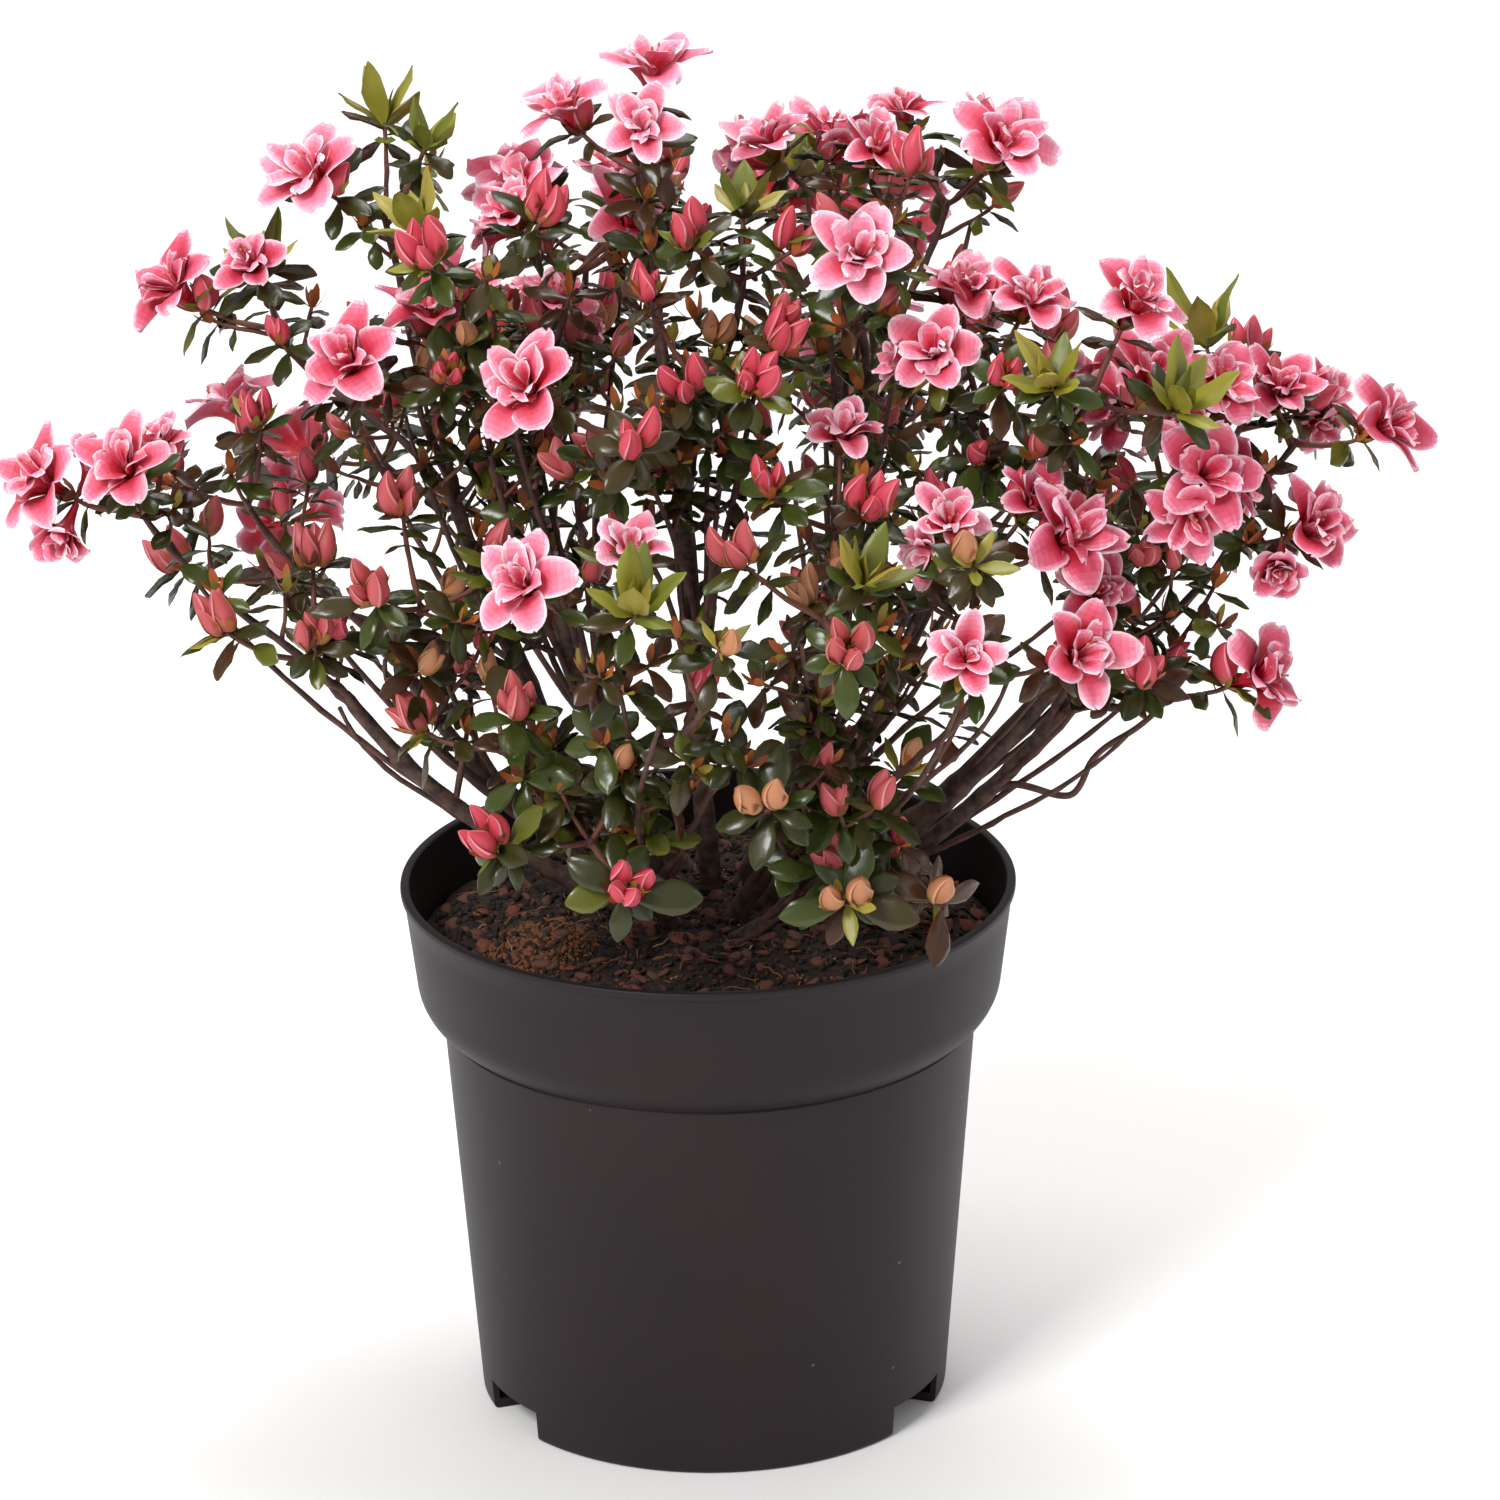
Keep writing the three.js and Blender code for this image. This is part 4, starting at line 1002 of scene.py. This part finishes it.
def blade(root, way, face, length, width, form):
    """A leaf as a sheet: folded at its midrib, rounded on each side of it, and drooping."""
    across = unit(np.cross(face, way))
    normal = np.cross(way, across)
    s = LEAF_ROWS[:, None]
    t = LEAF_COLUMNS[None, :]
    if form == "old":
        half = np.maximum(np.sin(np.pi * s**1.35 * 0.985) ** 0.8, 0.09) * width / 2
        droop = rng.uniform(0.06, 0.3)
    else:
        half = np.maximum(np.sin(np.pi * s * 0.98) ** 0.95, 0.07) * width / 2
        droop = rng.uniform(-0.1, 0.12)
    fold = rng.uniform(0.12, 0.34)
    twist = rng.normal(0, 0.25) * s
    height = half * (fold * np.abs(t) - 0.32 * t**4 + 0.16 * (1 - (2 * np.abs(t) - 1) ** 2))
    wave = 0.05 * length * np.sin(3.5 * s * np.pi + rng.uniform(0, 6)) * np.abs(t) * 0.5
    aside = half * t
    return (root + way * (s * length * (1 - 0.25 * droop * s))[..., None]
            + across * (aside * np.cos(twist) - height * np.sin(twist))[..., None]
            + normal * (aside * np.sin(twist) + height + wave - droop * length * s**2)[..., None])


def whorl(rosette, count):
    """Where the old leaves of a rosette are rooted, and the way each one grows."""
    course = rosette["course"]
    for i in range(count):
        below = WHORL["first"] + WHORL["pitch"] * i * rng.uniform(0.8, 1.3)
        share = 1 - min(below, course.length * 0.75) / course.length
        along = unit(course.way(share) + WHORL["upturn"] * UP)
        lean = LEAF["lean_deg"] + LEAF["lean_by_deg"] * i / count + rng.normal(0, WHORL["lean_spread"])
        turn = rosette["turn"] + WHORL["turned"] + GOLDEN_DEG * i + rng.normal(0, WHORL["turn_spread"])
        yield course.at(share)[0], leaning(along, lean, turn), along, 1 - WHORL["shorter"] * i


tint_names = list(LEAF_TINTS)
tint_odds = np.array([odds for _, odds in LEAF_TINTS.values()])
for rosette in rosettes:
    count = LEAVES[rosette["kind"]] + rng.integers(-1, 2)
    main_tint = rng.choice(len(tint_names), p=tint_odds)
    for root, way, along, share in whorl(rosette, count):
        shade = min(1, max(0, (LEAF["shade_below"] - root[2]) / LEAF["shade_fade"]))
        length = rng.uniform(*LEAF["length"]) * share * (1 + LEAF["shade_share"] * shade)
        if rosette["kind"] == "side":
            length *= LEAF["side_share"]
        width = length * rng.uniform(*LEAF["slender"])
        same = rng.random() < LEAF["same_tint"]
        tint = main_tint if same else rng.choice(len(tint_names), p=tint_odds)
        sheet = blade(root, way, along, length, width, "old")
        if sheet[-1, 2, 2] > SOIL["crest"] + 2:
            old_leaves[tint_names[tint]].add_sheet(sheet)
for name, heap in old_leaves.items():
    colour, _ = LEAF_TINTS[name]
    leaf_finish = roughened(finish(name, colour, 0.25, Specular_IOR_Level=0.42), 420, 0.2, 0.35)
    leaves = heap.as_piece("old_leaves_" + name.removesuffix("_leaf"), [leaf_finish])
    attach(leaves, "root")
    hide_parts(*spray_nodes)

# ---------------------------------------------------------------------------------- young leaves
# This spring's shoots: thin, upright, lance-shaped leaves of a light yellow-green, and a few small ones
# at the foot of the trusses.
YOUNG_WHORL = {"count": 8, "slender": (0.36, 0.44), "lean": (1.0, 1.8, 0.5), "long": (1, 0.85, 0.6)}
SMALL_LEAVES = {"odds": 0.48, "count": (2, 5), "length": (8, 14), "slender": (0.28, 0.36)}
YOUNG_TINTS = {"lime_leaf": (136, 132, 42), "fresh_leaf": (106, 112, 36), "straw_leaf": (156, 142, 56)}
rng = np.random.default_rng(37)
young_leaves = Heap()
for shoot in shoots:
    tip, along = shoot["tip"], shoot["along"]
    if shoot["kind"] == "L":
        root = tip - along * YOUNG["sunk"]
        for i in range(YOUNG_WHORL["count"]):
            ring = i // 3
            turn = shoot["turn"] + 120 * i + 60 * (ring % 2) + rng.normal(0, 8)
            length = YOUNG["length"] * shoot["smaller"] * rng.uniform(0.85, 1.0) * YOUNG_WHORL["long"][ring]
            way = leaning(shoot["rising"], YOUNG["lean_deg"] * YOUNG_WHORL["lean"][ring], turn)
            width = length * rng.uniform(*YOUNG_WHORL["slender"])
            sheet = blade(root, way, shoot["rising"], length, width, "young")
            young_leaves.add_sheet(sheet, rng.integers(0, len(YOUNG_TINTS)))
    elif rng.random() < SMALL_LEAVES["odds"]:
        for i in range(rng.integers(*SMALL_LEAVES["count"])):
            root = tip - along * rng.uniform(2, 4)
            way = leaning(along, rng.uniform(40, 75), shoot["turn"] + 90 * i + rng.normal(0, 15))
            length = rng.uniform(*SMALL_LEAVES["length"])
            width = length * rng.uniform(*SMALL_LEAVES["slender"])
            sheet = blade(root, way, along, length, width, "young")
            young_leaves.add_sheet(sheet, rng.integers(0, len(YOUNG_TINTS)))
young_finishes = [roughened(finish(name, colour, 0.42), 380, 0.25, 0.35)
                  for name, colour in YOUNG_TINTS.items()]
young_shoots = young_leaves.as_piece("young_leaves", young_finishes)
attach(young_shoots, "root")
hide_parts(*spray_nodes)

# ---------------------------------------------------------------------------------- buds
# Pointed buds of furled petals, wound round each other so that each petal's pale edge shows as a line.
# Brown papery scales hold the foot of each one. The latest buds are still tan and shut.
# A bud kind's tones are its body, its petals' pale edges, its foot, and painted shade: a darker tone in the
# tuck under each lapping edge.
BUD_PARTS = ("body", "edge", "base", "fold")
BODY, EDGE, BASE, TUCK_SHADE = range(4)
BUD_KINDS = {
    "pink_bud": ((200, 64, 82), (226, 138, 146), (160, 84, 52), (146, 34, 48)),
    "salmon_bud": ((182, 76, 80), (210, 130, 124), (156, 92, 48), (126, 42, 42)),
    "tan_bud": ((180, 120, 82), (204, 148, 106), (150, 116, 54), (132, 76, 46)),
}
BUD_ODDS = {"truss": (0.5, 0.4, 0.1), "side": (0.25, 0.5, 0.25)}
RIPENESS = {"low_front_left": 0, "low_left": 1, "left_edge": 1, "left_buds": 1, "mid_left_buds": 0,
            "centre_buds": 0, "top_buds": 0, "centre_high": 0, "low_front_right": 2, "low_centre": 2}
TRUSS = {"count": (3, 6), "slender": (0.42, 0.5), "long": 0.97, "inner": 2, "inner_lean": (0.35, 0.7),
         "outer_lean": (0.8, 1.4), "inner_share": (0.74, 0.9), "outer_share": (0.54, 0.76), "apart": 0.42}
SHUT_TRUSS = {"count": (1, 3), "slender": 0.62, "long": 0.8}
LONE_BUD = {"length": 11, "width": 6.5}
SIDE_BUDS = {"odds": 0.3, "count": (1, 4), "length": (8.5, 13.5), "slender": 0.52}
SCALE_TINTS = {"rust_scale": (176, 96, 42), "olive_scale": (148, 130, 50), "brown_scale": (114, 62, 38)}
SCALE_ODDS = (0.5, 0.22, 0.28)
SCALE_ROWS = ((0, 0.5), (0.4, 1.0), (0.78, 0.7), (1.0, 0.12))
SCALE_LENGTH = (5.0, 8.4)
BUD_PROFILE = np.array([
    (0.0, 0.36), (0.08, 0.66), (0.2, 0.9), (0.34, 1.0), (0.5, 0.97), (0.64, 0.85), (0.77, 0.66),
    (0.88, 0.43), (0.96, 0.22), (1.0, 0.06),
])
LAP = np.array([0, 0.26, 0.5, 0.7, 0.84, 0.95])
rng = np.random.default_rng(41)
bud_heaps = {name: Heap() for name in BUD_KINDS}
scales = Heap()


def add_bud(heap, root, way, length, width):
    """A bud whose three outer petals overlap in a spiral, each with a raised pale edge and painted shade in
    the tuck under it.
    """
    across, away = square_to(way)
    lap = np.tile(LAP, 3)
    places = (np.repeat(np.arange(3), len(LAP)) + lap) / 3 * 2 * math.pi
    wind = rng.uniform(0.7, 1.5) * rng.choice([-1, 1])
    first = rng.uniform(0, 6)
    rings = np.empty((len(BUD_PROFILE), len(lap), 3))
    bow = rng.normal(0, 0.05, 2) * length
    for k, (up, out) in enumerate(BUD_PROFILE):
        turns = places + first + wind * up
        radius = width / 2 * out * (0.88 + 0.2 * lap)
        spine = root + way * up * length + (across * bow[0] + away * bow[1]) * math.sin(math.pi * up)
        aside = np.cos(turns)[:, None] * across + np.sin(turns)[:, None] * away
        rings[k] = spine + radius[:, None] * aside
    # The last strip of each petal, where it steps in under its lapping edge, is painted shade; the strip
    # before it is the petal's pale edge.
    parts = np.select([lap > 0.9, lap > 0.8], [TUCK_SHADE, EDGE], BODY)
    zones = np.tile(parts, (len(BUD_PROFILE) - 1, 1))
    zones[0] = BASE
    zones[1] = np.where(rng.random(len(lap)) < 0.75, BASE, zones[1])
    zones[2] = np.where(rng.random(len(lap)) < 0.25, BASE, zones[2])
    heap.add_solid(rings, zones)


def add_scales(root, way, width, count):
    """Papery scales round the foot of a bud or truss."""
    for i in range(count):
        out = leaning(way, rng.uniform(26, 50), 360 / count * i + rng.uniform(0, 30))
        start = root - way * 1.0 + (out - way * (out @ way)) * width * 0.34
        length = rng.uniform(*SCALE_LENGTH)
        across = unit(np.cross(way, out))
        lift = unit(out + way * 0.8)
        grid = np.empty((len(SCALE_ROWS), 3, 3))
        for r, (s, w) in enumerate(SCALE_ROWS):
            spine = start + (out * (1 - s) + lift * s) * length * s
            for c, t in enumerate((-1, 0, 1)):
                grid[r, c] = spine + across * t * w * 1.5 + way * (0.35 * abs(t))
        scales.add_sheet(grid, rng.choice(len(SCALE_ODDS), p=SCALE_ODDS))


def ripeness(k):
    """How far a spray's buds have come: 0 pink, 1 salmon, 2 tan and shut."""
    if SPRAYS[k][0] in RIPENESS:
        return RIPENESS[SPRAYS[k][0]]
    return rng.choice(3, p=BUD_ODDS["truss"])


def bud_skin(name, tones):
    """A finish for each part of a bud: its body, its petals' edges, its foot, and the painted shade in the
    tucks under the edges.
    """
    return [roughened(finish(name + "_" + part, colour, 0.5), 500, 0.15, 0.3)
            for part, colour in zip(BUD_PARTS, tones)]


bud_names = list(BUD_KINDS)
for shoot in shoots:
    tip, along, rising, scale = shoot["tip"], shoot["along"], shoot["rising"], shoot["scale"]
    if shoot["kind"] == "B":
        ripe = ripeness(shoot["spray"])
        truss = SHUT_TRUSS if ripe == 2 else TRUSS
        root = tip - along * BUD["sunk"]
        for i in range(rng.integers(*truss["count"])):
            rank = "inner" if i < TRUSS["inner"] else "outer"
            lean = BUD["lean_deg"] * rng.uniform(*TRUSS[rank + "_lean"])
            way = leaning(rising, lean, shoot["turn"] + (180 * i if rank == "inner" else 180 * i + 90))
            length = BUD["length"] * scale * rng.uniform(*TRUSS[rank + "_share"]) * truss["long"]
            width = length * (truss["slender"] if ripe == 2 else rng.uniform(*truss["slender"]))
            aside = unit(way - rising * (way @ rising)) * width * TRUSS["apart"]
            add_bud(bud_heaps[bud_names[ripe]], root + rising * 1.5 + aside, way, length, width)
            add_scales(root + rising * 3 + aside, way, width * 0.8, 5)
    elif shoot["kind"] == "D":
        add_bud(bud_heaps["tan_bud"], tip - along * 2, along, LONE_BUD["length"], LONE_BUD["width"])
        add_scales(tip - along, along, 5, 5)
for rosette in rosettes:
    if rosette["kind"] == "side":
        end, way = rosette["course"].points[-1], rosette["course"].end_way
        upward = unit(way + 0.7 * UP)
        if rng.random() < SIDE_BUDS["odds"]:
            heap = bud_heaps[bud_names[rng.choice(3, p=BUD_ODDS["side"])]]
            for i in range(rng.integers(*SIDE_BUDS["count"])):
                bud_way = leaning(upward, rng.uniform(8, 26), 130 * i + rosette["turn"])
                length = rng.uniform(*SIDE_BUDS["length"])
                add_bud(heap, end - way * 1.2, bud_way, length, length * SIDE_BUDS["slender"])
        add_scales(end, upward, 4, 4)

for name, heap in bud_heaps.items():
    buds = heap.as_piece(name + "s", bud_skin(name, BUD_KINDS[name]))
    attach(buds, "root")
    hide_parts(*spray_nodes)

# ---------------------------------------------------------------------------------- blossom
# Semi-double blossom: a short tube that opens into five broad waved petals, with a ring of smaller
# ones and a few curled scraps inside. Each petal is rose, deeper in the throat, with a white margin.
PETAL_ROWS = np.array([0, 0.1, 0.19, 0.28, 0.37, 0.46, 0.55, 0.64, 0.72, 0.8, 0.87, 0.925, 0.965, 0.995])
HALF_PETAL = np.array([0, 0.2, 0.4, 0.58, 0.74, 0.86, 0.945, 1])
PETAL_COLUMNS = np.concatenate([-HALF_PETAL[:0:-1], HALF_PETAL])
SMALL_ROWS = np.array([0, 0.18, 0.34, 0.5, 0.64, 0.77, 0.87, 0.94, 0.995])
HALF_SMALL = np.array([0, 0.35, 0.65, 0.88, 1])
SMALL_COLUMNS = np.concatenate([-HALF_SMALL[:0:-1], HALF_SMALL])
TONES = 19
# The light and deep tints are the rose tint painted lighter and darker, as light and shade on the crown.
BLOSSOM_TINTS = {
    "light": ((203, 38, 47), (214, 62, 83), (223, 100, 125), (232, 136, 162), (238, 182, 198),
              (244, 224, 231)),
    "rose": ((192, 26, 37), (204, 45, 67), (216, 77, 101), (225, 113, 140), (234, 166, 185),
             (242, 217, 224)),
    "deep": ((176, 17, 33), (190, 32, 57), (203, 57, 84), (214, 90, 118), (228, 149, 171),
             (240, 207, 216)),
}
# Painted light and shade: sprays at the top, front and left, towards the key lamp, get the light tint, and
# those on the shaded right get the deep tint.
SPRAYS_BY_PAINTED_LIGHT = {
    "light": ("left_shoulder", "top_left", "left", "top", "front_high", "top_right_front", "front_mid"),
    "deep": ("right_open", "right_mid", "right_outer", "far_right", "right_high", "right_edge_low",
             "right_low_back"),
}
OWN_TINT = 0.75
PETALS = {"count": 5, "reach": (0.84, 1.0), "width": 13.2, "wave": 1.15}
INNER = {"count": (4, 7), "reach": (0.4, 0.66), "width": 9.2, "wave": 1.3}
SCRAPS = {"count": (1, 4), "reach": (0.16, 0.32), "width": 6.5, "wave": 1.1}
STAMENS = {"count": 3, "radius": 0.22, "head": [0.25, 0.5, 0.25]}
COMPANIONS = {"count": 3, "lean_deg": (52, 82), "scale": (0.78, 0.95), "openness": [1.0, 0.92, 0.6],
              "openness_odds": (0.45, 0.3, 0.25), "open": 0.16, "bud": 0.35, "bud_length": (12, 16),
              "past": (-3.5, 1.34), "bud_past": (-2, 1.3)}
STAMEN_TINTS = {"stamen_thread": ((222, 96, 110), 0.5), "stamen_head": ((196, 116, 92), 0.7)}
CROWDED = {"right_open": 0.7, "right_outer": 0.6, "right_mid": 0.6, "right_high": 0.4, "far_left": 0.4}
rng = np.random.default_rng(43)
blossom_heaps = {name: Heap() for name in BLOSSOM_TINTS}
stamens = Heap()


def smooth_step(low, high, x):
    """0 below low, 1 above high, and smooth between."""
    t = np.clip((x - low) / (high - low), 0, 1)
    return t * t * (3 - 2 * t)


def add_petal(heap, frame_of, turn, spine, width, wave, rows, columns):
    """One petal: it wraps the tube at its foot, spreads, and waves along its edge.

    frame_of holds the blossom's root, its axis and two directions square to that. spine holds four
    points of the petal's middle line, as how far out and how far up each lies.
    """
    root, axis, across, away = frame_of
    out_way = math.cos(turn) * across + math.sin(turn) * away
    side_way = -math.sin(turn) * across + math.cos(turn) * away
    s = rows
    a, b, c, d = (np.array(p, float) for p in spine)
    u = s[:, None]
    line = (1 - u) ** 3 * a + 3 * (1 - u) ** 2 * u * b + 3 * (1 - u) * u**2 * c + u**3 * d
    tangent = np.gradient(line, axis=0)
    tangent /= np.linalg.norm(tangent, axis=1)[:, None]
    length = np.linalg.norm(np.diff(line, axis=0), axis=1).sum()
    round_tip = np.sqrt(np.maximum(0, 1 - np.clip((s - 0.6) / 0.4, 0, 1) ** 2.7))
    half = width / 2 * (0.17 + 0.83 * smooth_step(0.16, 0.7, s)) * np.maximum(round_tip, 0.07)
    t = columns[None, :]
    lateral = half[:, None] * t
    phase = rng.uniform(0, 6, 3)
    spread = smooth_step(0.3, 0.75, s)[:, None]
    cup = 0.34 - 0.5 * smooth_step(0.45, 1.0, s)[:, None] + rng.normal(0, 0.08)
    lift = cup * half[:, None] * t**2
    beat = rng.uniform(7, 11)
    lift = lift + wave * spread * np.abs(t) ** 1.5 * np.sin(beat * s[:, None] + 2.2 * t + phase[0])
    lift = lift + 0.6 * wave * spread * np.sin(2.8 * t + phase[1] + 3 * s[:, None])
    lift = lift - 0.5 * spread * np.exp(-((t / 0.22) ** 2)) * (1 - s[:, None] ** 4)
    lift = lift + rng.normal(0, 0.16) * lateral * spread
    out = line[:, :1] - tangent[:, 1:] * lift
    up = line[:, 1:] + tangent[:, :1] * lift
    notch = rng.uniform(0, 1.0) * np.exp(-((t / 0.25) ** 2)) * smooth_step(0.88, 1.0, s)[:, None]
    out = out - tangent[:, :1] * notch
    round_tube = np.maximum(line[:, :1], 1.2)
    wrap = 1 - smooth_step(0.12, 0.5, s)[:, None]
    angle = lateral / round_tube
    out_wrapped, side_wrapped = out * np.cos(angle), out * np.sin(angle)
    out_all = wrap * out_wrapped + (1 - wrap) * out
    side_all = wrap * side_wrapped + (1 - wrap) * lateral
    grid = (root + out_all[..., None] * out_way + side_all[..., None] * side_way
            + up[..., None] * axis)
    heap.add_sheet(grid, petal_zones(rows, columns, half, length))
    return grid


def petal_zones(rows, columns, half, length):
    """The tone of each face of a petal, from 0 in the throat to the last one at the white margin."""
    s = (rows[:-1] + rows[1:])[:, None] / 2
    t = np.abs(columns[:-1] + columns[1:])[None, :] / 2
    width = ((half[:-1] + half[1:]) / 2)[:, None]
    from_edge = np.minimum((1 - t) * width, (1 - s) * length * 0.9 + 0.1)
    inside = 0.03 + 0.55 * smooth_step(0.32, 1.0, s) - 0.05 * np.exp(-((t / 0.2) ** 2))
    inside = inside + rng.normal(0, 0.016, t.shape) + rng.normal(0, 0.04)
    edge = np.exp(-np.maximum(0, from_edge + rng.normal(0, 0.14, from_edge.shape) - 0.35) / 1.05)
    edge = edge * smooth_step(0.25, 0.5, s) * rng.uniform(0.86, 1.0, edge.shape)
    tone = inside + (1 - inside) * edge + rng.normal(0, 0.008, edge.shape)
    return np.clip(np.round(tone * (TONES - 1)), 0, TONES - 1).astype(int)


def add_blossom(tint, root, facing, scale, openness):
    """A blossom: broad outer petals, a ring of smaller ones, curled scraps and stamens."""
    heap = blossom_heaps[tint]
    across, away = square_to(facing)
    frame_of = (root, facing, across, away)
    radius, depth = BLOSSOM["radius"] * scale, BLOSSOM["depth"] * scale
    for i in range(PETALS["count"]):
        turn = 2 * math.pi / PETALS["count"] * i + rng.normal(0, 0.13)
        reach = radius * openness * rng.uniform(*PETALS["reach"])
        rise = depth * (1.0 + 0.55 * (1 - openness)) + rng.normal(0, 2.6)
        spine = [(1.0, 0), (1.7, depth * 0.62), (reach * 0.34, depth * 1.12 + 4 * (1 - openness)),
                 (reach, rise)]
        width = PETALS["width"] * scale * rng.uniform(0.84, 1.1)
        add_petal(heap, frame_of, turn, spine, width, PETALS["wave"] * scale, PETAL_ROWS, PETAL_COLUMNS)
    inner = rng.integers(*INNER["count"])
    for i in range(inner):
        turn = 2 * math.pi / inner * (i + 0.5) + rng.normal(0, 0.25)
        reach = radius * openness * rng.uniform(*INNER["reach"])
        spine = [(0.8, 0), (1.3, depth * 0.7), (reach * 0.22, depth * 1.16),
                 (reach, depth * rng.uniform(1.15, 1.5))]
        width = INNER["width"] * scale * rng.uniform(0.75, 1.15)
        add_petal(heap, frame_of, turn, spine, width, INNER["wave"] * scale, SMALL_ROWS, SMALL_COLUMNS)
    for i in range(rng.integers(*SCRAPS["count"])):
        turn = rng.uniform(0, 2 * math.pi)
        reach = radius * openness * rng.uniform(*SCRAPS["reach"])
        spine = [(0.5, 0), (0.9, depth * 0.7), (reach * 0.3, depth * 1.2),
                 (reach, depth * rng.uniform(1.3, 1.5))]
        width, wave = SCRAPS["width"] * scale, SCRAPS["wave"] * scale
        add_petal(heap, frame_of, turn, spine, width, wave, SMALL_ROWS, SMALL_COLUMNS)
    for i in range(STAMENS["count"]):
        way = leaning(facing, rng.uniform(4, 14), rng.uniform(0, 360))
        length = depth * rng.uniform(1.15, 1.4)
        tip = root + way * length
        thread = Course(root, root + facing * length * 0.6, tip)
        stamens.add_solid(swept(thread.at(np.linspace(0.2, 1, 6)), np.full(6, STAMENS["radius"]), 3), 0)
        head = Course(tip - way * 0.6, tip, tip + way * 0.7)
        stamens.add_solid(swept(head.at([0, 0.5, 1]), STAMENS["head"], 5), 1)


def tint_of(k):
    """The tint of a spray's blossom, now and then another one. Its paler and deeper tints are painted light
    and shade.
    """
    own = [tint for tint, names in SPRAYS_BY_PAINTED_LIGHT.items() if SPRAYS[k][0] in names] or ["rose"]
    return own[0] if rng.random() < OWN_TINT else rng.choice(list(BLOSSOM_TINTS))


companion_buds = []
for shoot in shoots:
    if shoot["kind"] != "O":
        continue
    k, tip, facing, scale = shoot["spray"], shoot["tip"], shoot["facing"], shoot["scale"]
    root = tip - facing * BLOSSOM["sunk"]
    tint = tint_of(k)
    add_blossom(tint, root, facing, scale, 1.0)
    add_scales(root + facing * 0.5, facing, 4, 6)
    base_turn = rng.uniform(0, 360)
    for i in range(COMPANIONS["count"]):
        lean = rng.uniform(*COMPANIONS["lean_deg"])
        turn = base_turn + 360 / COMPANIONS["count"] * i
        way = leaning(facing, lean, turn + rng.normal(0, 14))
        seat = root - shoot["along"] * 1.5
        smaller = scale * rng.uniform(*COMPANIONS["scale"])
        openness = rng.choice(COMPANIONS["openness"], p=COMPANIONS["openness_odds"])
        rim = rim_of(seat + way * 2, way, smaller)
        odds = CROWDED.get(SPRAYS[k][0], COMPANIONS["open"])
        if rng.random() < odds and way[2] > -0.5 and in_space(k, rim, *COMPANIONS["past"]):
            add_blossom(tint, seat + way * 2, way, smaller, openness)
            pedicel = Course(tip - shoot["along"] * 3, seat + way * 0.5, seat + way * 3)
            grow_twig(pedicel, 0.7, 0.9, 5, 3, GREEN)
        elif rng.random() < COMPANIONS["bud"]:
            bud_way = unit(leaning(facing, lean * 0.7, turn) + 0.6 * UP)
            if in_space(k, (seat + bud_way * 17)[None], *COMPANIONS["bud_past"]):
                length = rng.uniform(*COMPANIONS["bud_length"])
                companion_buds.append((seat + bud_way * 2.5, bud_way, length))


def tone(colours, k):
    """The k-th of the even tones that run through a row of colours."""
    place = k / (TONES - 1) * (len(colours) - 1)
    low = min(int(place), len(colours) - 2)
    return [a + (b - a) * (place - low) for a, b in zip(colours[low], colours[low + 1])]


for tint, heap in blossom_heaps.items():
    petal_finishes = [
        roughened(finish(f"{tint}_petal_{k}", tone(BLOSSOM_TINTS[tint], k), 0.55), 300, 0.15, 0.25)
        for k in range(TONES)
    ]
    blossom = heap.as_piece("blossom_" + tint, petal_finishes)
    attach(blossom, "root")
    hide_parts(*spray_nodes)

truss_buds = Heap()
for root, way, length in companion_buds:
    add_bud(truss_buds, root, way, length, length * rng.uniform(0.46, 0.56))
truss_bud_piece = truss_buds.as_piece("truss_buds", bud_skin("truss_bud", BUD_KINDS["pink_bud"]))
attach(truss_bud_piece, "root")
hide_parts(*spray_nodes)

stamen_finishes = [roughened(finish(name, colour, rough), 300, 0.1, 0.3)
                   for name, (colour, rough) in STAMEN_TINTS.items()]
stamen_piece = stamens.as_piece("stamens", stamen_finishes)
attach(stamen_piece, "root")
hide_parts(*spray_nodes)

scale_finishes = [roughened(finish(name, colour, 0.6), 400, 0.2, 0.4)
                  for name, colour in SCALE_TINTS.items()]
bud_scales = scales.as_piece("bud_scales", scale_finishes)
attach(bud_scales, "root")
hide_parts(*spray_nodes)

twig_finishes = [
    roughened(mottled(finish("stem_wood", STEM_WOOD[0], 0.7), 300, STEM_WOOD), 700, 0.25),
    roughened(finish("twig_wood", TWIG_WOOD, 0.65), 700, 0.2),
    roughened(finish("green_wood", GREEN_WOOD, 0.6), 700, 0.2),
]
twig_piece = twigs.as_piece("stems_and_twigs", twig_finishes)
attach(twig_piece, "root")
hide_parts(*spray_nodes)

# ---------------------------------------------------------------------------------- the box
# The sizes of the solids and of the dressed plant, for comparing the two.
corners = {"cad": cad_box, "visual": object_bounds()}
{name: [list(map(float, corner)) for corner in box] for name, box in corners.items()}
